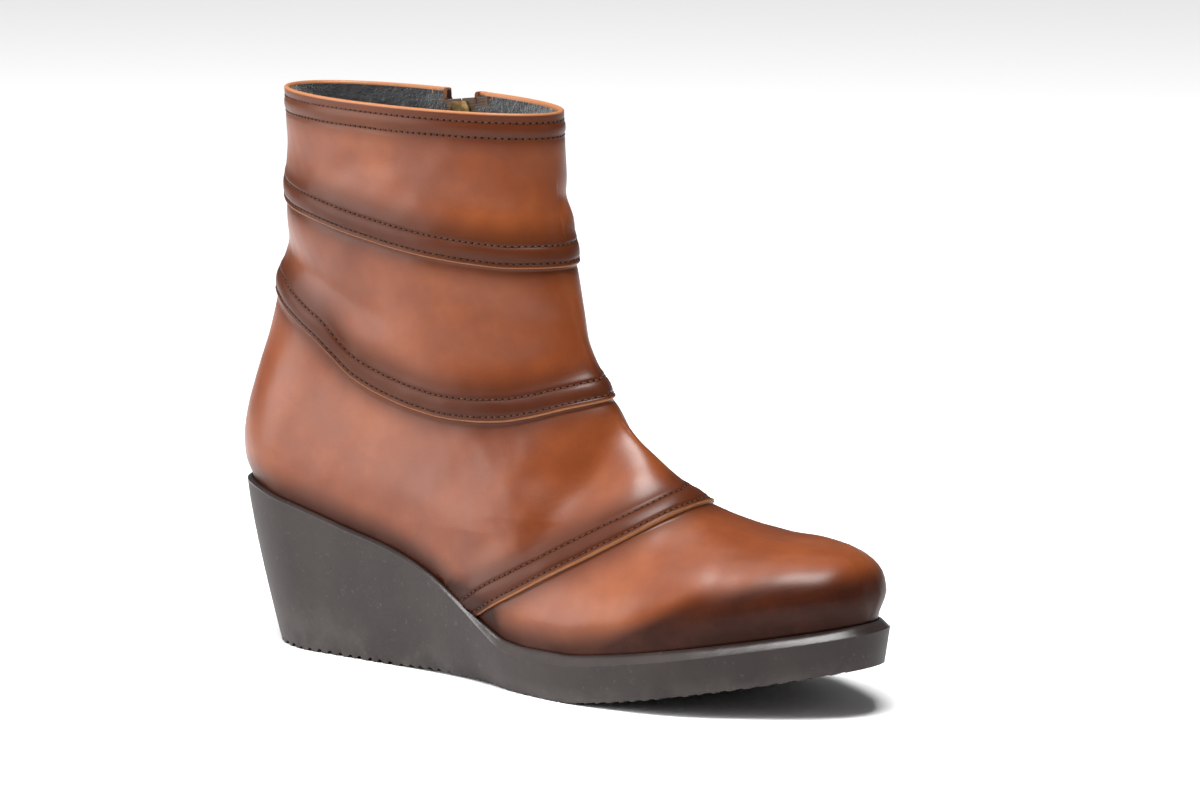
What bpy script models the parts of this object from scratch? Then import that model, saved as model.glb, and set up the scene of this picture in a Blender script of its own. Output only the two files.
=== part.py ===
"""Wedge ankle boot for the right foot, with an inside zip.

Units are metres. X runs from heel to toe, Z is up, the outer side of the foot is -Y and
the inner side, which has the zip, is +Y. All lengths along the boot start at the back
edge of the sole until the last step, which puts the origin under the middle of the boot.
"""

import math
from collections import namedtuple
from itertools import combinations

import bmesh
import bpy
import numpy as np

# Sole unit
SOLE_LENGTH = 0.248
BALL_WIDTH = 0.088
HEEL_HEIGHT = 0.0545
BALL_THICKNESS = 0.0125
TOE_THICKNESS = 0.0110
TOE_SPRING = 0.0165
SPRING_START = 0.157
ARCH_LIFT = 0.0008
HEEL_RAKE = 0.0125
TOE_RAKE = 0.0018
HEEL_SIDE_RAKE = 0.0045
BALL_SIDE_RAKE = 0.0018
HEEL_ROUND = 0.032
TOE_ROUND = 0.060
RIM_WIDTH_HEEL = 0.0012
RIM_WIDTH_TOE = 0.0030
RIM_RISE_HEEL = 0.0006
RIM_RISE_TOE = 0.0030
RIM_LAND = 0.0005
SEAT_DEPTH = 0.0035
RIB_PITCH = 0.0044
RIB_LAND = 0.0027
RIB_DEPTH = 0.0012
FIRST_RIB = 0.0166
RIBS_SHORT_OF_TOE = 0.0160
BLANK_BELOW = 0.010
CUTTER_BELOW = 0.020
GROOVE_CUTTER_BELOW = 0.004
SIDE_ROWS = 5

# Upper
COLLAR_HEIGHT = 0.1830
UPPER_WALL = 0.0022
FIT_GAP = 0.0003
SEAM_STEP = 0.0012
SEAM_BAND = 0.0070
SEAM_FADE = 0.0090
SEAM_WALL = 0.0004
WIDEST_ABOVE_RIM = 0.009
SIDE_BULGE = 0.0010
RIDGE_SHIFT = 0.004
SHAFT_TOE_OUT = 0.056
MARGIN_WIDTH = 0.0125
SHAFT_FROM = 0.004
SHAFT_BLEND = 0.055
SEAM_START = 0.001
SEAM_START_FADE = 0.004
NEAR_SLOT = 0.025

# Zip
TAPE_THICKNESS = 0.0008
TAPE_WIDTH = 0.0120
TAPE_PARTING = 0.0010
TAPE_BELOW_SLOT = 0.0020
TEETH_ABOVE_FOOT = 0.0010
TAPE_BELOW_COLLAR = 0.0015
CHAIN_WIDTH = 0.0066
TOOTH_PITCH = 0.00165
TOOTH_REACH = 0.0009
TEETH_PARTING = 0.0006
TEETH_HEIGHT = 0.0016
TOOTH_DIP = 0.0005
SLIDER_TOP = 0.0008
SLIDER_LENGTH = 0.0125
SLIDER_WIDTH = 0.0088
SLIDER_PLATE = 0.0010
BRIDGE_WIDTH = 0.0026
BRIDGE_HEIGHT = 0.0034
BRIDGE_LENGTH = 0.0110
PULL_LENGTH = 0.0225
PULL_WIDTH = 0.0076
PULL_TIP_WIDTH = 0.0046
PULL_THICKNESS = 0.0011
PULL_BAR = 0.0011
PULL_WINDOW_LENGTH = 0.0093
PULL_TIP_WINDOW = 0.0028
PULL_TIP_BAR = 0.0016

# Insole
BOARD_THICKNESS = 0.0022

COLUMNS = 52
SMOOTHING = 3
ROWS = 24
# Step for measuring a curve's slope
SLOPE_STEP = 0.001

PlanRow = namedtuple("PlanRow", "along outer inner")
# The sole's top edge seen from above. along is a share of SOLE_LENGTH, and outer and
# inner are half widths as shares of half of BALL_WIDTH, before the ends are rounded.
PLAN = (
    PlanRow(0.00, 0.70, 0.70),
    PlanRow(0.12, 0.71, 0.70),
    PlanRow(0.22, 0.73, 0.67),
    PlanRow(0.34, 0.76, 0.60),
    PlanRow(0.44, 0.83, 0.61),
    PlanRow(0.54, 0.94, 0.73),
    PlanRow(0.64, 1.00, 0.90),
    PlanRow(0.72, 0.98, 0.98),
    PlanRow(0.80, 0.91, 0.97),
    PlanRow(0.88, 0.80, 0.88),
    PlanRow(1.00, 0.66, 0.74),
)

WedgeRow = namedtuple("WedgeRow", "along height")
# The wedge's top edge seen from the side. height is a share of the heel's height above
# the ball's thickness.
WEDGE = (
    WedgeRow(0.00, 1.000),
    WedgeRow(0.05, 0.990),
    WedgeRow(0.125, 0.900),
    WedgeRow(0.23, 0.755),
    WedgeRow(0.315, 0.640),
    WedgeRow(0.385, 0.490),
    WedgeRow(0.44, 0.310),
    WedgeRow(0.49, 0.135),
    WedgeRow(0.525, 0.035),
    WedgeRow(0.565, 0.000),
    WedgeRow(1.00, 0.000),
)

ProfileRow = namedtuple("ProfileRow", "along height")
# The middle line over the toe, vamp and instep to the collar's front. along is a share of
# SOLE_LENGTH and height a share of COLLAR_HEIGHT.
FRONT_LINE = (
    ProfileRow(0.9860, 0.166),
    ProfileRow(0.9865, 0.195),
    ProfileRow(0.9830, 0.225),
    ProfileRow(0.9740, 0.253),
    ProfileRow(0.9580, 0.271),
    ProfileRow(0.9300, 0.281),
    ProfileRow(0.8800, 0.286),
    ProfileRow(0.8250, 0.290),
    ProfileRow(0.7800, 0.303),
    ProfileRow(0.7320, 0.329),
    ProfileRow(0.6950, 0.360),
    ProfileRow(0.6500, 0.417),
    ProfileRow(0.6100, 0.468),
    ProfileRow(0.5800, 0.515),
    ProfileRow(0.5600, 0.560),
    ProfileRow(0.5360, 0.659),
    ProfileRow(0.5150, 0.770),
    ProfileRow(0.5030, 0.880),
    ProfileRow(0.4990, 0.993),
)
# The middle line up the back of the heel to the collar's back.
BACK_LINE = (
    ProfileRow(0.0080, 0.300),
    ProfileRow(-0.0040, 0.335),
    ProfileRow(-0.0075, 0.372),
    ProfileRow(-0.0040, 0.420),
    ProfileRow(0.0120, 0.510),
    ProfileRow(0.0280, 0.590),
    ProfileRow(0.0390, 0.690),
    ProfileRow(0.0470, 0.790),
    ProfileRow(0.0500, 0.880),
    ProfileRow(0.0440, 1.010),
)

ShaftRow = namedtuple("ShaftRow", "height outer inner back front")
# Level sections of the heel and shaft. height is a share of COLLAR_HEIGHT, outer and inner
# are half widths and back and front the lengths of the rounded ends, as shares of half of
# BALL_WIDTH.
SHAFT = (
    ShaftRow(0.30, 0.66, 0.66, 0.727, 1.20),
    ShaftRow(0.38, 0.575, 0.65, 0.75, 1.20),
    ShaftRow(0.50, 0.550, 0.62, 0.80, 1.25),
    ShaftRow(0.62, 0.585, 0.65, 1.00, 1.30),
    ShaftRow(0.78, 0.610, 0.65, 1.20, 1.30),
    ShaftRow(1.00, 0.625, 0.625, 1.27, 1.27),
)

SeamRow = namedtuple("SeamRow", "along outer inner")
# The lower edge of each raised seam in the side views. along is a share of SOLE_LENGTH,
# and outer and inner are heights as shares of COLLAR_HEIGHT.
COLLAR_SEAM = (
    SeamRow(0.040, 0.828, 0.828),
    SeamRow(0.085, 0.806, 0.812),
    SeamRow(0.155, 0.790, 0.788),
    SeamRow(0.240, 0.769, 0.757),
    SeamRow(0.305, 0.754, 0.750),
    SeamRow(0.370, 0.741, 0.743),
    SeamRow(0.425, 0.733, 0.736),
    SeamRow(0.475, 0.728, 0.731),
    SeamRow(0.530, 0.728, 0.728),
)
ANKLE_SEAM = (
    SeamRow(0.030, 0.650, 0.650),
    SeamRow(0.075, 0.634, 0.617),
    SeamRow(0.105, 0.614, 0.598),
    SeamRow(0.167, 0.572, 0.558),
    SeamRow(0.233, 0.508, 0.517),
    SeamRow(0.298, 0.477, 0.489),
    SeamRow(0.341, 0.464, 0.480),
    SeamRow(0.384, 0.456, 0.471),
    SeamRow(0.426, 0.454, 0.464),
    SeamRow(0.467, 0.457, 0.465),
    SeamRow(0.503, 0.466, 0.476),
    SeamRow(0.543, 0.481, 0.490),
    SeamRow(0.600, 0.502, 0.502),
)
VAMP_SEAM = (
    SeamRow(0.400, 0.060, 0.100),
    SeamRow(0.450, 0.106, 0.122),
    SeamRow(0.500, 0.146, 0.141),
    SeamRow(0.530, 0.168, 0.159),
    SeamRow(0.568, 0.197, 0.190),
    SeamRow(0.605, 0.225, 0.221),
    SeamRow(0.640, 0.252, 0.253),
    SeamRow(0.684, 0.288, 0.299),
    SeamRow(0.706, 0.309, 0.318),
    SeamRow(0.730, 0.333, 0.333),
    SeamRow(0.800, 0.410, 0.410),
)

SlotRow = namedtuple("SlotRow", "height back front")
# The zip's slot in the inner side view. height is a share of COLLAR_HEIGHT, and back and
# front are the slot's edges as shares of SOLE_LENGTH.
SLOT = (
    SlotRow(0.245, 0.347, 0.378),
    SlotRow(0.300, 0.332, 0.364),
    SlotRow(0.390, 0.314, 0.345),
    SlotRow(0.500, 0.298, 0.331),
    SlotRow(0.640, 0.281, 0.317),
    SlotRow(0.770, 0.264, 0.302),
    SlotRow(0.890, 0.246, 0.291),
    SlotRow(1.000, 0.231, 0.287),
)


def column(rows, name):
    """One column of a table as an array."""
    return np.array([getattr(row, name) for row in rows])


def smooth_curve(at, values):
    """A cubic through the given points that never overshoots, as a function of position."""
    at, values = np.asarray(at, float), np.asarray(values, float)
    step = np.diff(at)
    slope = np.diff(values) / step
    tangent = np.zeros(len(at))
    same = slope[:-1] * slope[1:] > 0
    before, after = 2 * step[1:] + step[:-1], step[1:] + 2 * step[:-1]
    inside = np.where(same, slope[:-1] * slope[1:], 1.0)
    share = before * slope[1:] + after * slope[:-1]
    tangent[1:-1] = np.where(same, (before + after) * inside / np.where(same, share, 1.0), 0.0)
    tangent[0], tangent[-1] = slope[0], slope[-1]

    def curve(position):
        position = np.clip(np.asarray(position, float), at[0], at[-1])
        span = np.clip(np.searchsorted(at, position, side="right") - 1, 0, len(step) - 1)
        width = step[span]
        part = (position - at[span]) / width
        return (
            values[span] * (1 + 2 * part) * (1 - part) ** 2
            + tangent[span] * width * part * (1 - part) ** 2
            + values[span + 1] * part**2 * (3 - 2 * part)
            + tangent[span + 1] * width * part**2 * (part - 1)
        )

    return curve


def ease(value):
    """0 below 0, 1 above 1, and a smooth step between them."""
    value = np.clip(value, 0.0, 1.0)
    return value * value * (3 - 2 * value)


def quarter_round(share, power=2.0):
    """The height of a rounded end, which grows from 0 at its tip to 1 at share 1."""
    share = np.clip(share, 0.0, 1.0)
    return np.clip(1 - (1 - share) ** power, 0.0, 1.0) ** (1 / power)


# Lines of the sole unit
half_ball = BALL_WIDTH / 2
plan_outer = smooth_curve(column(PLAN, "along"), column(PLAN, "outer"))
plan_inner = smooth_curve(column(PLAN, "along"), column(PLAN, "inner"))
wedge_share = smooth_curve(column(WEDGE, "along"), column(WEDGE, "height"))


def plan_half(x, side):
    """Half width of the sole's top edge before its ends are rounded. side is -1 or 1."""
    share = np.where(side < 0, plan_outer(x / SOLE_LENGTH), plan_inner(x / SOLE_LENGTH))
    return half_ball * share


def end_rounding(x, length):
    return quarter_round(x / HEEL_ROUND) * quarter_round((length - x) / TOE_ROUND)


def toe_share(x):
    """0 on the heel, 1 on the forefoot, for what changes along the waist."""
    return ease((x / SOLE_LENGTH - 0.40) / 0.18)


def ground_line(x):
    """Height of the tread's face: flat at heel and ball, up at the toe."""
    reach = np.clip((x - SPRING_START) / (SOLE_LENGTH - SPRING_START), 0.0, 1.1)
    arch_middle, arch_reach = 0.42 * SOLE_LENGTH, 0.10 * SOLE_LENGTH
    arch = 1 - np.clip(np.abs(x - arch_middle) / arch_reach, 0.0, 1.0) ** 2
    return TOE_SPRING * reach**1.15 + ARCH_LIFT * arch


def rim_edge(x):
    """Height of the outer edge of the sole's top."""
    toe_part = np.clip((x - SPRING_START) / (SOLE_LENGTH - SPRING_START), 0.0, 1.0)
    thickness = BALL_THICKNESS + (TOE_THICKNESS - BALL_THICKNESS) * toe_part
    spring = TOE_SPRING * toe_part**1.15
    return thickness + spring + (HEEL_HEIGHT - BALL_THICKNESS) * wedge_share(x / SOLE_LENGTH)


def rim_width(x):
    return RIM_WIDTH_HEEL + (RIM_WIDTH_TOE - RIM_WIDTH_HEEL) * toe_share(x)


def rim_top(x):
    """Height of the line where the leather comes out of the sole."""
    return rim_edge(x) + RIM_RISE_HEEL + (RIM_RISE_TOE - RIM_RISE_HEEL) * toe_share(x)


def seat(x):
    """Height of the face inside the rim that carries the upper and the insole."""
    return rim_top(x) - SEAT_DEPTH


def above_seat(x, lift):
    """Height of a layer of the given thickness on the seat, also where the seat slopes."""
    slope = (seat(x + SLOPE_STEP) - seat(x - SLOPE_STEP)) / (2 * SLOPE_STEP)
    return seat(x) + lift * np.sqrt(1 + slope**2)


def around(count):
    """Angles round a plan, from the heel along the outer side to the toe and back."""
    return np.arange(count) * 2 * math.pi / count


def plan_ring(theta, inset_back, inset_toe, inset_side):
    """x and y of the sole's outline, drawn in by the given insets."""
    share = (1 - np.cos(theta)) / 2
    side = np.where(np.sin(theta) > 1e-9, -1.0, 1.0)
    full = share * SOLE_LENGTH
    x = inset_back + share * (SOLE_LENGTH - inset_back - inset_toe)
    wide = plan_half(full, side)
    closed = np.abs(np.sin(theta)) > 1e-6
    y = side * (wide - inset_side) * end_rounding(full, SOLE_LENGTH) * closed
    return x, y


def sole_rings(theta):
    """Rings of points up the side wall, over the rim and down to the seat."""
    rings = []
    full = (1 - np.cos(theta)) / 2 * SOLE_LENGTH
    lean = HEEL_SIDE_RAKE + (BALL_SIDE_RAKE - HEEL_SIDE_RAKE) * toe_share(full)
    for level in (-1.0, *np.linspace(0.0, 1.0, SIDE_ROWS)):
        down = 1 - max(level, 0.0)
        x, y = plan_ring(theta, HEEL_RAKE * down**1.25, TOE_RAKE * down, lean * down**1.25)
        low, high = ground_line(x), rim_edge(x)
        z = low + (high - low) * level if level >= 0 else np.full_like(x, -BLANK_BELOW)
        rings.append(np.stack([x, y, z], 1))
    for inset, height in (
        (rim_width(full), rim_top),
        (rim_width(full) + RIM_LAND, rim_top),
        (rim_width(full) + RIM_LAND, seat),
    ):
        x, y = plan_ring(theta, inset[0], inset[len(inset) // 2], inset)
        rings.append(np.stack([x, y, height(x)], 1))
    return rings


# Lines of the upper
TOE_SEAM = SOLE_LENGTH - RIM_WIDTH_TOE - RIM_LAND - FIT_GAP
HEEL_SEAM = RIM_WIDTH_HEEL + RIM_LAND + FIT_GAP
HEEL_SEAM_HEIGHT = float(rim_top(0.0))
BACK_TOP = BACK_LINE[-1].height * COLLAR_HEIGHT
front_x = np.append(TOE_SEAM, column(FRONT_LINE[1:], "along") * SOLE_LENGTH)
front_z = np.append(rim_top(SOLE_LENGTH), column(FRONT_LINE[1:], "height") * COLLAR_HEIGHT)
back_x = smooth_curve(
    np.append(HEEL_SEAM_HEIGHT, column(BACK_LINE[1:], "height") * COLLAR_HEIGHT),
    np.append(HEEL_SEAM, column(BACK_LINE[1:], "along") * SOLE_LENGTH),
)
front_run = np.concatenate([[0.0], np.cumsum(np.hypot(np.diff(front_x), np.diff(front_z)))])
front_x_at = smooth_curve(front_run, front_x)
front_z_at = smooth_curve(front_run, front_z)
toe_corner = int(np.argmax(front_x))
# The same line read two ways: its height over a length, and its length at a height.
top_height = smooth_curve(front_x[toe_corner:][::-1], front_z[toe_corner:][::-1])
front_reach = smooth_curve(front_z, front_x)
shaft_outer = smooth_curve(column(SHAFT, "height"), column(SHAFT, "outer"))
shaft_inner = smooth_curve(column(SHAFT, "height"), column(SHAFT, "inner"))
shaft_back = smooth_curve(column(SHAFT, "height"), column(SHAFT, "back"))
shaft_front = smooth_curve(column(SHAFT, "height"), column(SHAFT, "front"))


def upper_half(x, z, side):
    """Half width of the upper at a point of its side view."""
    level = z / COLLAR_HEIGHT
    above = z - rim_top(x)
    toe_tip = front_reach(np.minimum(z, front_z[toe_corner + 3]))
    full = (x - back_x(z)) / (toe_tip - back_x(z)) * SOLE_LENGTH
    inset = rim_width(full) + RIM_LAND + FIT_GAP
    foot = plan_half(full, side) - inset + SIDE_BULGE * ease(above / WIDEST_ABOVE_RIM)
    shaft = half_ball * np.where(side < 0, shaft_outer(level), shaft_inner(level))
    body = foot + (shaft - foot) * ease((above - SHAFT_FROM) / SHAFT_BLEND)
    body = body * quarter_round(full / (half_ball * shaft_back(level)))
    blunt = 2 + 0.5 * ease(above / WIDEST_ABOVE_RIM)
    body = body * quarter_round((SOLE_LENGTH - full) / TOE_ROUND, blunt)
    widest = rim_top(x) + WIDEST_ABOVE_RIM
    rise = np.clip((z - widest) / np.maximum(top_height(x) - widest, 1e-6), 0.0, 1.0)
    power = 1.45 + 1.1 * ease((x / SOLE_LENGTH - 0.62) / 0.28)
    top = (1 - rise**power) ** (1 / power)
    top = 1 - (1 - top) * ease((x / SOLE_LENGTH - 0.50) / 0.11)
    front_power = 1.55 + 0.45 * ease((level - 0.52) / 0.3)
    front = quarter_round((front_reach(z) - x) / (half_ball * shaft_front(level)), front_power)
    front = 1 - (1 - front) * ease((level - 0.24) / 0.2)
    top, front = np.maximum(top, 1e-4), np.maximum(front, 1e-4)
    return body * (top**-8.0 + front**-8.0 - 1) ** (-1 / 8.0)


def upper_middle(x, z):
    """y of the upper's middle line: the ridge of the instep and the turned shaft."""
    level = z / COLLAR_HEIGHT
    shaft = ease((level - 0.42) / 0.35)
    turned = -math.tan(SHAFT_TOE_OUT) * (x - (front_x[-1] + back_x(COLLAR_HEIGHT)) / 2)
    ridge = np.clip((z - rim_top(x)) / np.maximum(top_height(x) - rim_top(x), 1e-6), 0.0, 1.0)
    along = -np.sin(2 * math.pi * np.clip((x / SOLE_LENGTH - 0.48) / 0.52, 0.0, 1.0))
    return turned * shaft + RIDGE_SHIFT * ridge**2 * along * (1 - shaft)


def upper_point(rise, theta):
    """A point of the upper's face. rise goes from 0 at the sole to 1 at the collar, and
    theta from the heel along the outer side to the toe and back on the inner side."""
    share = (1 - np.cos(theta)) / 2
    side = np.where(np.sin(theta) > 1e-9, -1.0, 1.0)
    low_z = HEEL_SEAM_HEIGHT + (BACK_TOP - HEEL_SEAM_HEIGHT) * rise
    low_x = back_x(low_z)
    high_x, high_z = front_x_at(front_run[-1] * rise), front_z_at(front_run[-1] * rise)
    x = low_x + (high_x - low_x) * share
    seam_chord = HEEL_SEAM_HEIGHT + (front_z[0] - HEEL_SEAM_HEIGHT) * share
    seam_x = back_x(HEEL_SEAM_HEIGHT) + (front_x[0] - back_x(HEEL_SEAM_HEIGHT)) * share
    sag = (rim_top(seam_x) - seam_chord) * (1 - rise) ** 3
    z = low_z + (high_z - low_z) * share + sag
    closed = np.abs(np.sin(theta)) > 1e-6
    y = upper_middle(x, z) + side * upper_half(x, z, side) * closed
    return np.stack([x, y, z], -1)


def seam_curves(rows):
    """The seam's height over x as two functions, for the outer and the inner side."""
    along = column(rows, "along") * SOLE_LENGTH
    return (
        smooth_curve(along, column(rows, "outer") * COLLAR_HEIGHT),
        smooth_curve(along, column(rows, "inner") * COLLAR_HEIGHT),
    )


SEAMS = tuple(seam_curves(rows) for rows in (COLLAR_SEAM, ANKLE_SEAM, VAMP_SEAM))


def above_seam(seam, x, z, inner):
    """Distance up the side view from a seam's lower edge, less than 0 below it."""
    outer_line, inner_line = seam
    line = np.where(inner, inner_line(x), outer_line(x))
    ahead = np.where(inner, inner_line(x + SLOPE_STEP), outer_line(x + SLOPE_STEP))
    slope = (ahead - line) / SLOPE_STEP
    return (z - line) / np.sqrt(1 + slope**2)


slot_height = column(SLOT, "height") * COLLAR_HEIGHT
slot_back = smooth_curve(slot_height, column(SLOT, "back") * SOLE_LENGTH)
slot_front = smooth_curve(slot_height, column(SLOT, "front") * SOLE_LENGTH)
SLOT_FOOT = float(slot_height[0])


def slot_sides(point):
    """Distances inside the slot's back edge, front edge and foot."""
    back, front = float(slot_back(point[2])), float(slot_front(point[2]))
    return point[0] - back, front - point[0], point[2] - SLOT_FOOT


# MESH BUILDING


def paint(name, colour, roughness, metallic=0.0):
    material = bpy.data.materials.new(name)
    material.use_nodes = True
    shader = material.node_tree.nodes["Principled BSDF"]
    shader.inputs["Base Color"].default_value = (*colour, 1.0)
    shader.inputs["Roughness"].default_value = roughness
    shader.inputs["Metallic"].default_value = metallic
    return material


def add_object(name, points, faces, material, smooth=True):
    """A closed mesh with its faces turned outward, as one object."""
    mesh = bpy.data.meshes.new(name)
    mesh.from_pydata([tuple(map(float, point)) for point in points], [], faces)
    work = bmesh.new()
    work.from_mesh(mesh)
    bmesh.ops.recalc_face_normals(work, faces=work.faces)
    if work.calc_volume(signed=True) < 0:
        bmesh.ops.reverse_faces(work, faces=work.faces)
    for face in work.faces:
        face.smooth = smooth
    work.to_mesh(mesh)
    work.free()
    mesh.materials.append(material)
    thing = bpy.data.objects.new(name, mesh)
    bpy.context.collection.objects.link(thing)
    return thing


def strips(first, count, closed):
    """Quads between a ring of points and the next one in the list."""
    faces = []
    for place in range(count if closed else count - 1):
        after = (place + 1) % count
        faces.append(
            (first + place, first + after, first + count + after, first + count + place)
        )
    return faces


def cap(first, count):
    """Quads across a ring, joining each point to its mirror point on the other side."""
    faces = [(first, first + 1, first + count - 1)]
    for place in range(1, count // 2 - 1):
        faces.append(
            (first + place, first + place + 1, first + count - place - 1, first + count - place)
        )
    middle = first + count // 2
    faces.append((middle - 1, middle, middle + 1))
    return faces


def add_loft(name, rings, material, smooth=True):
    """A closed solid through a list of rings with a cap across the first and the last."""
    count = len(rings[0])
    faces = cap(0, count) + cap((len(rings) - 1) * count, count)
    for place in range(len(rings) - 1):
        faces += strips(place * count, count, True)
    return add_object(name, np.concatenate(rings), faces, material, smooth)


def add_block_loft(name, rings, material, smooth=False):
    """A closed solid through a list of small rings, each capped by one face."""
    count = len(rings[0])
    last = (len(rings) - 1) * count
    faces = [tuple(range(count)), tuple(range(last, last + count))]
    for place in range(len(rings) - 1):
        faces += strips(place * count, count, True)
    return add_object(name, np.concatenate(rings), faces, material, smooth)


def combine(target, tools, operation):
    """Apply a Boolean with each tool in turn and delete the tools."""
    for tool in tools:
        modifier = target.modifiers.new("Boolean", "BOOLEAN")
        modifier.operation, modifier.solver = operation, "EXACT"
        modifier.object = tool
        bpy.context.view_layer.objects.active = target
        bpy.ops.object.modifier_apply(modifier=modifier.name)
        bpy.data.objects.remove(tool, do_unlink=True)


for thing in list(bpy.data.objects):
    bpy.data.objects.remove(thing, do_unlink=True)

leather = paint("leather", (0.30, 0.10, 0.03), 0.45)
rubber = paint("rubber", (0.035, 0.028, 0.025), 0.6)
board = paint("insole_board", (0.05, 0.045, 0.04), 0.85)
tape = paint("zip_tape", (0.12, 0.07, 0.03), 0.8)
brass = paint("aged_brass", (0.35, 0.24, 0.10), 0.35, 1.0)

theta = around(COLUMNS)

# Sole unit: side wall, rim and seat, with the tread's grooves cut across below
sole = add_loft("sole_unit", sole_rings(theta), rubber)
floor_cut = []
for x in np.linspace(-BLANK_BELOW, SOLE_LENGTH + BLANK_BELOW, 45):
    level, under = float(ground_line(np.array(x))), -CUTTER_BELOW
    top = [(x, -BALL_WIDTH, level), (x, BALL_WIDTH, level)]
    floor_cut.append(top + [(x, BALL_WIDTH, under), (x, -BALL_WIDTH, under)])
combine(sole, [add_block_loft("floor_cut", np.array(floor_cut), rubber)], "DIFFERENCE")
grooves = []
groove_count = int((SOLE_LENGTH - RIBS_SHORT_OF_TOE) / RIB_PITCH)
for place in range(groove_count):
    start = FIRST_RIB + place * RIB_PITCH
    stop = start + RIB_PITCH - RIB_LAND
    ends = []
    for x in (start, stop):
        level = float(ground_line(np.array(x)))
        under, over = level - GROOVE_CUTTER_BELOW, level + RIB_DEPTH
        low_side = [(x, -BALL_WIDTH, under), (x, BALL_WIDTH, under)]
        ends.append(low_side + [(x, BALL_WIDTH, over), (x, -BALL_WIDTH, over)])
    grooves.append(ends)
points = np.array(grooves).reshape(-1, 3)
faces = []
for place in range(groove_count):
    first = place * 8
    faces += [tuple(range(first, first + 4)), tuple(range(first + 4, first + 8))]
    faces += strips(first, 4, True)
combine(sole, [add_object("groove_comb", points, faces, rubber)], "DIFFERENCE")

# Upper: the lasting margin and feather corner, then the face from the sole to the collar
corner = SEAT_DEPTH - FIT_GAP
full = (1 - np.cos(theta)) / 2 * SOLE_LENGTH
base_inset = rim_width(full) + RIM_LAND + FIT_GAP
rows = []
for extra, lift in (
    (MARGIN_WIDTH, 0.0),
    (MARGIN_WIDTH * 0.5, 0.0),
    (corner, 0.0),
    (corner * 0.35, corner * 0.24),
    (0.0, corner * 0.85),
):
    x, y = plan_ring(theta, HEEL_SEAM + extra, SOLE_LENGTH - TOE_SEAM + extra, base_inset + extra)
    rows.append(np.stack([x, y, above_seat(x, FIT_GAP + lift)], 1))
face_rows = [upper_point(np.full(COLUMNS, rise), theta) for rise in np.linspace(0, 1, ROWS) ** 1.4]
face_rows = np.array(face_rows)
for _ in range(SMOOTHING):
    between = (face_rows[4:] + face_rows[2:-2]) / 2
    face_rows[3:-1] = (face_rows[3:-1] + between) / 2
rows += list(face_rows)

work = bmesh.new()
grid = [[work.verts.new(point) for point in row] for row in rows]
for low, high in zip(grid, grid[1:]):
    for place in range(COLUMNS):
        after = (place + 1) % COLUMNS
        work.faces.new((low[place], low[after], high[after], high[place]))


def score(field, level, where):
    """Cut the sheet's faces along the line where a field takes a value."""
    values = {vert: field(vert.co) - level for vert in work.verts if where(vert.co)}
    for vert, value in values.items():
        if abs(value) < 1e-5:
            values[vert] = 0.0
    on_line = {vert for vert, value in values.items() if value == 0.0}
    for edge in list(work.edges):
        first, second = edge.verts
        if first not in values or second not in values:
            continue
        if values[first] * values[second] < 0:
            share = values[first] / (values[first] - values[second])
            on_line.add(bmesh.utils.edge_split(edge, first, share)[1])
    for face in list(work.faces):
        loop = list(face.verts)
        ends = [place for place, vert in enumerate(loop) if vert in on_line]
        for first, second in combinations(ends, 2):
            one = [values.get(vert, 0.0) for vert in loop[first + 1 : second]]
            other = [values.get(vert, 0.0) for vert in loop[second + 1 :] + loop[:first]]
            if one and other and (max(one) <= 0 < max(other) or max(other) <= 0 < max(one)):
                if min(one + other) < 0:
                    bmesh.utils.face_split(face, loop[first], loop[second])
                    break


def is_inner(point):
    return point[1] > float(upper_middle(point[0], point[2]))


def seam_field(seam):
    return lambda point: float(above_seam(seam, point[0], point[2], is_inner(point)))


for seam in SEAMS:
    for level in (0.0, SEAM_WALL):
        score(seam_field(seam), level, lambda point: point[2] > float(rim_top(point[0])) - SEAM_START)


def near_slot(point):
    inside = slot_sides(point)
    return is_inner(point) and min(inside) > -NEAR_SLOT


for number in range(3):
    score(lambda point: slot_sides(point)[number], 0.0, near_slot)
opened = []
for face in work.faces:
    middle = face.calc_center_median()
    if is_inner(middle) and min(slot_sides(middle)) > 0:
        opened.append(face)
bmesh.ops.delete(work, geom=opened, context="FACES")
work.normal_update()
work.verts.index_update()
outer_points, inner_points = [], []
for vert in work.verts:
    x, y, z = vert.co
    height = 0.0
    for seam in SEAMS:
        up = float(above_seam(seam, x, z, is_inner(vert.co)))
        raised = np.clip(up / SEAM_WALL, 0.0, 1.0) * (1 - ease((up - SEAM_BAND) / SEAM_FADE))
        height = max(height, SEAM_STEP * float(raised))
    height *= float(ease((z - float(rim_top(x)) + SEAM_START) / SEAM_START_FADE))
    outer_points.append(vert.co + vert.normal * height)
    inner_points.append(vert.co - vert.normal * UPPER_WALL)
count = len(outer_points)
faces = []
for face in work.faces:
    loop = [vert.index for vert in face.verts]
    faces.append(tuple(loop))
    faces.append(tuple(index + count for index in reversed(loop)))
for edge in work.edges:
    if edge.is_boundary:
        first, second = (vert.index for vert in edge.verts)
        faces.append((first, second, second + count, first + count))
upper = add_object("upper", outer_points + inner_points, faces, leather)
work.free()

# Insole: a board over the lasting margin
shelf = 2 * FIT_GAP + UPPER_WALL
board_edge = UPPER_WALL + 6 * FIT_GAP
rings = []
for lift in (shelf, shelf + BOARD_THICKNESS):
    extra = board_edge
    x, y = plan_ring(theta, HEEL_SEAM + extra, SOLE_LENGTH - TOE_SEAM + extra, base_inset + extra)
    rings.append(np.stack([x, y, above_seat(x, lift)], 1))
insole = add_loft("insole", rings, board)


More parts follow.
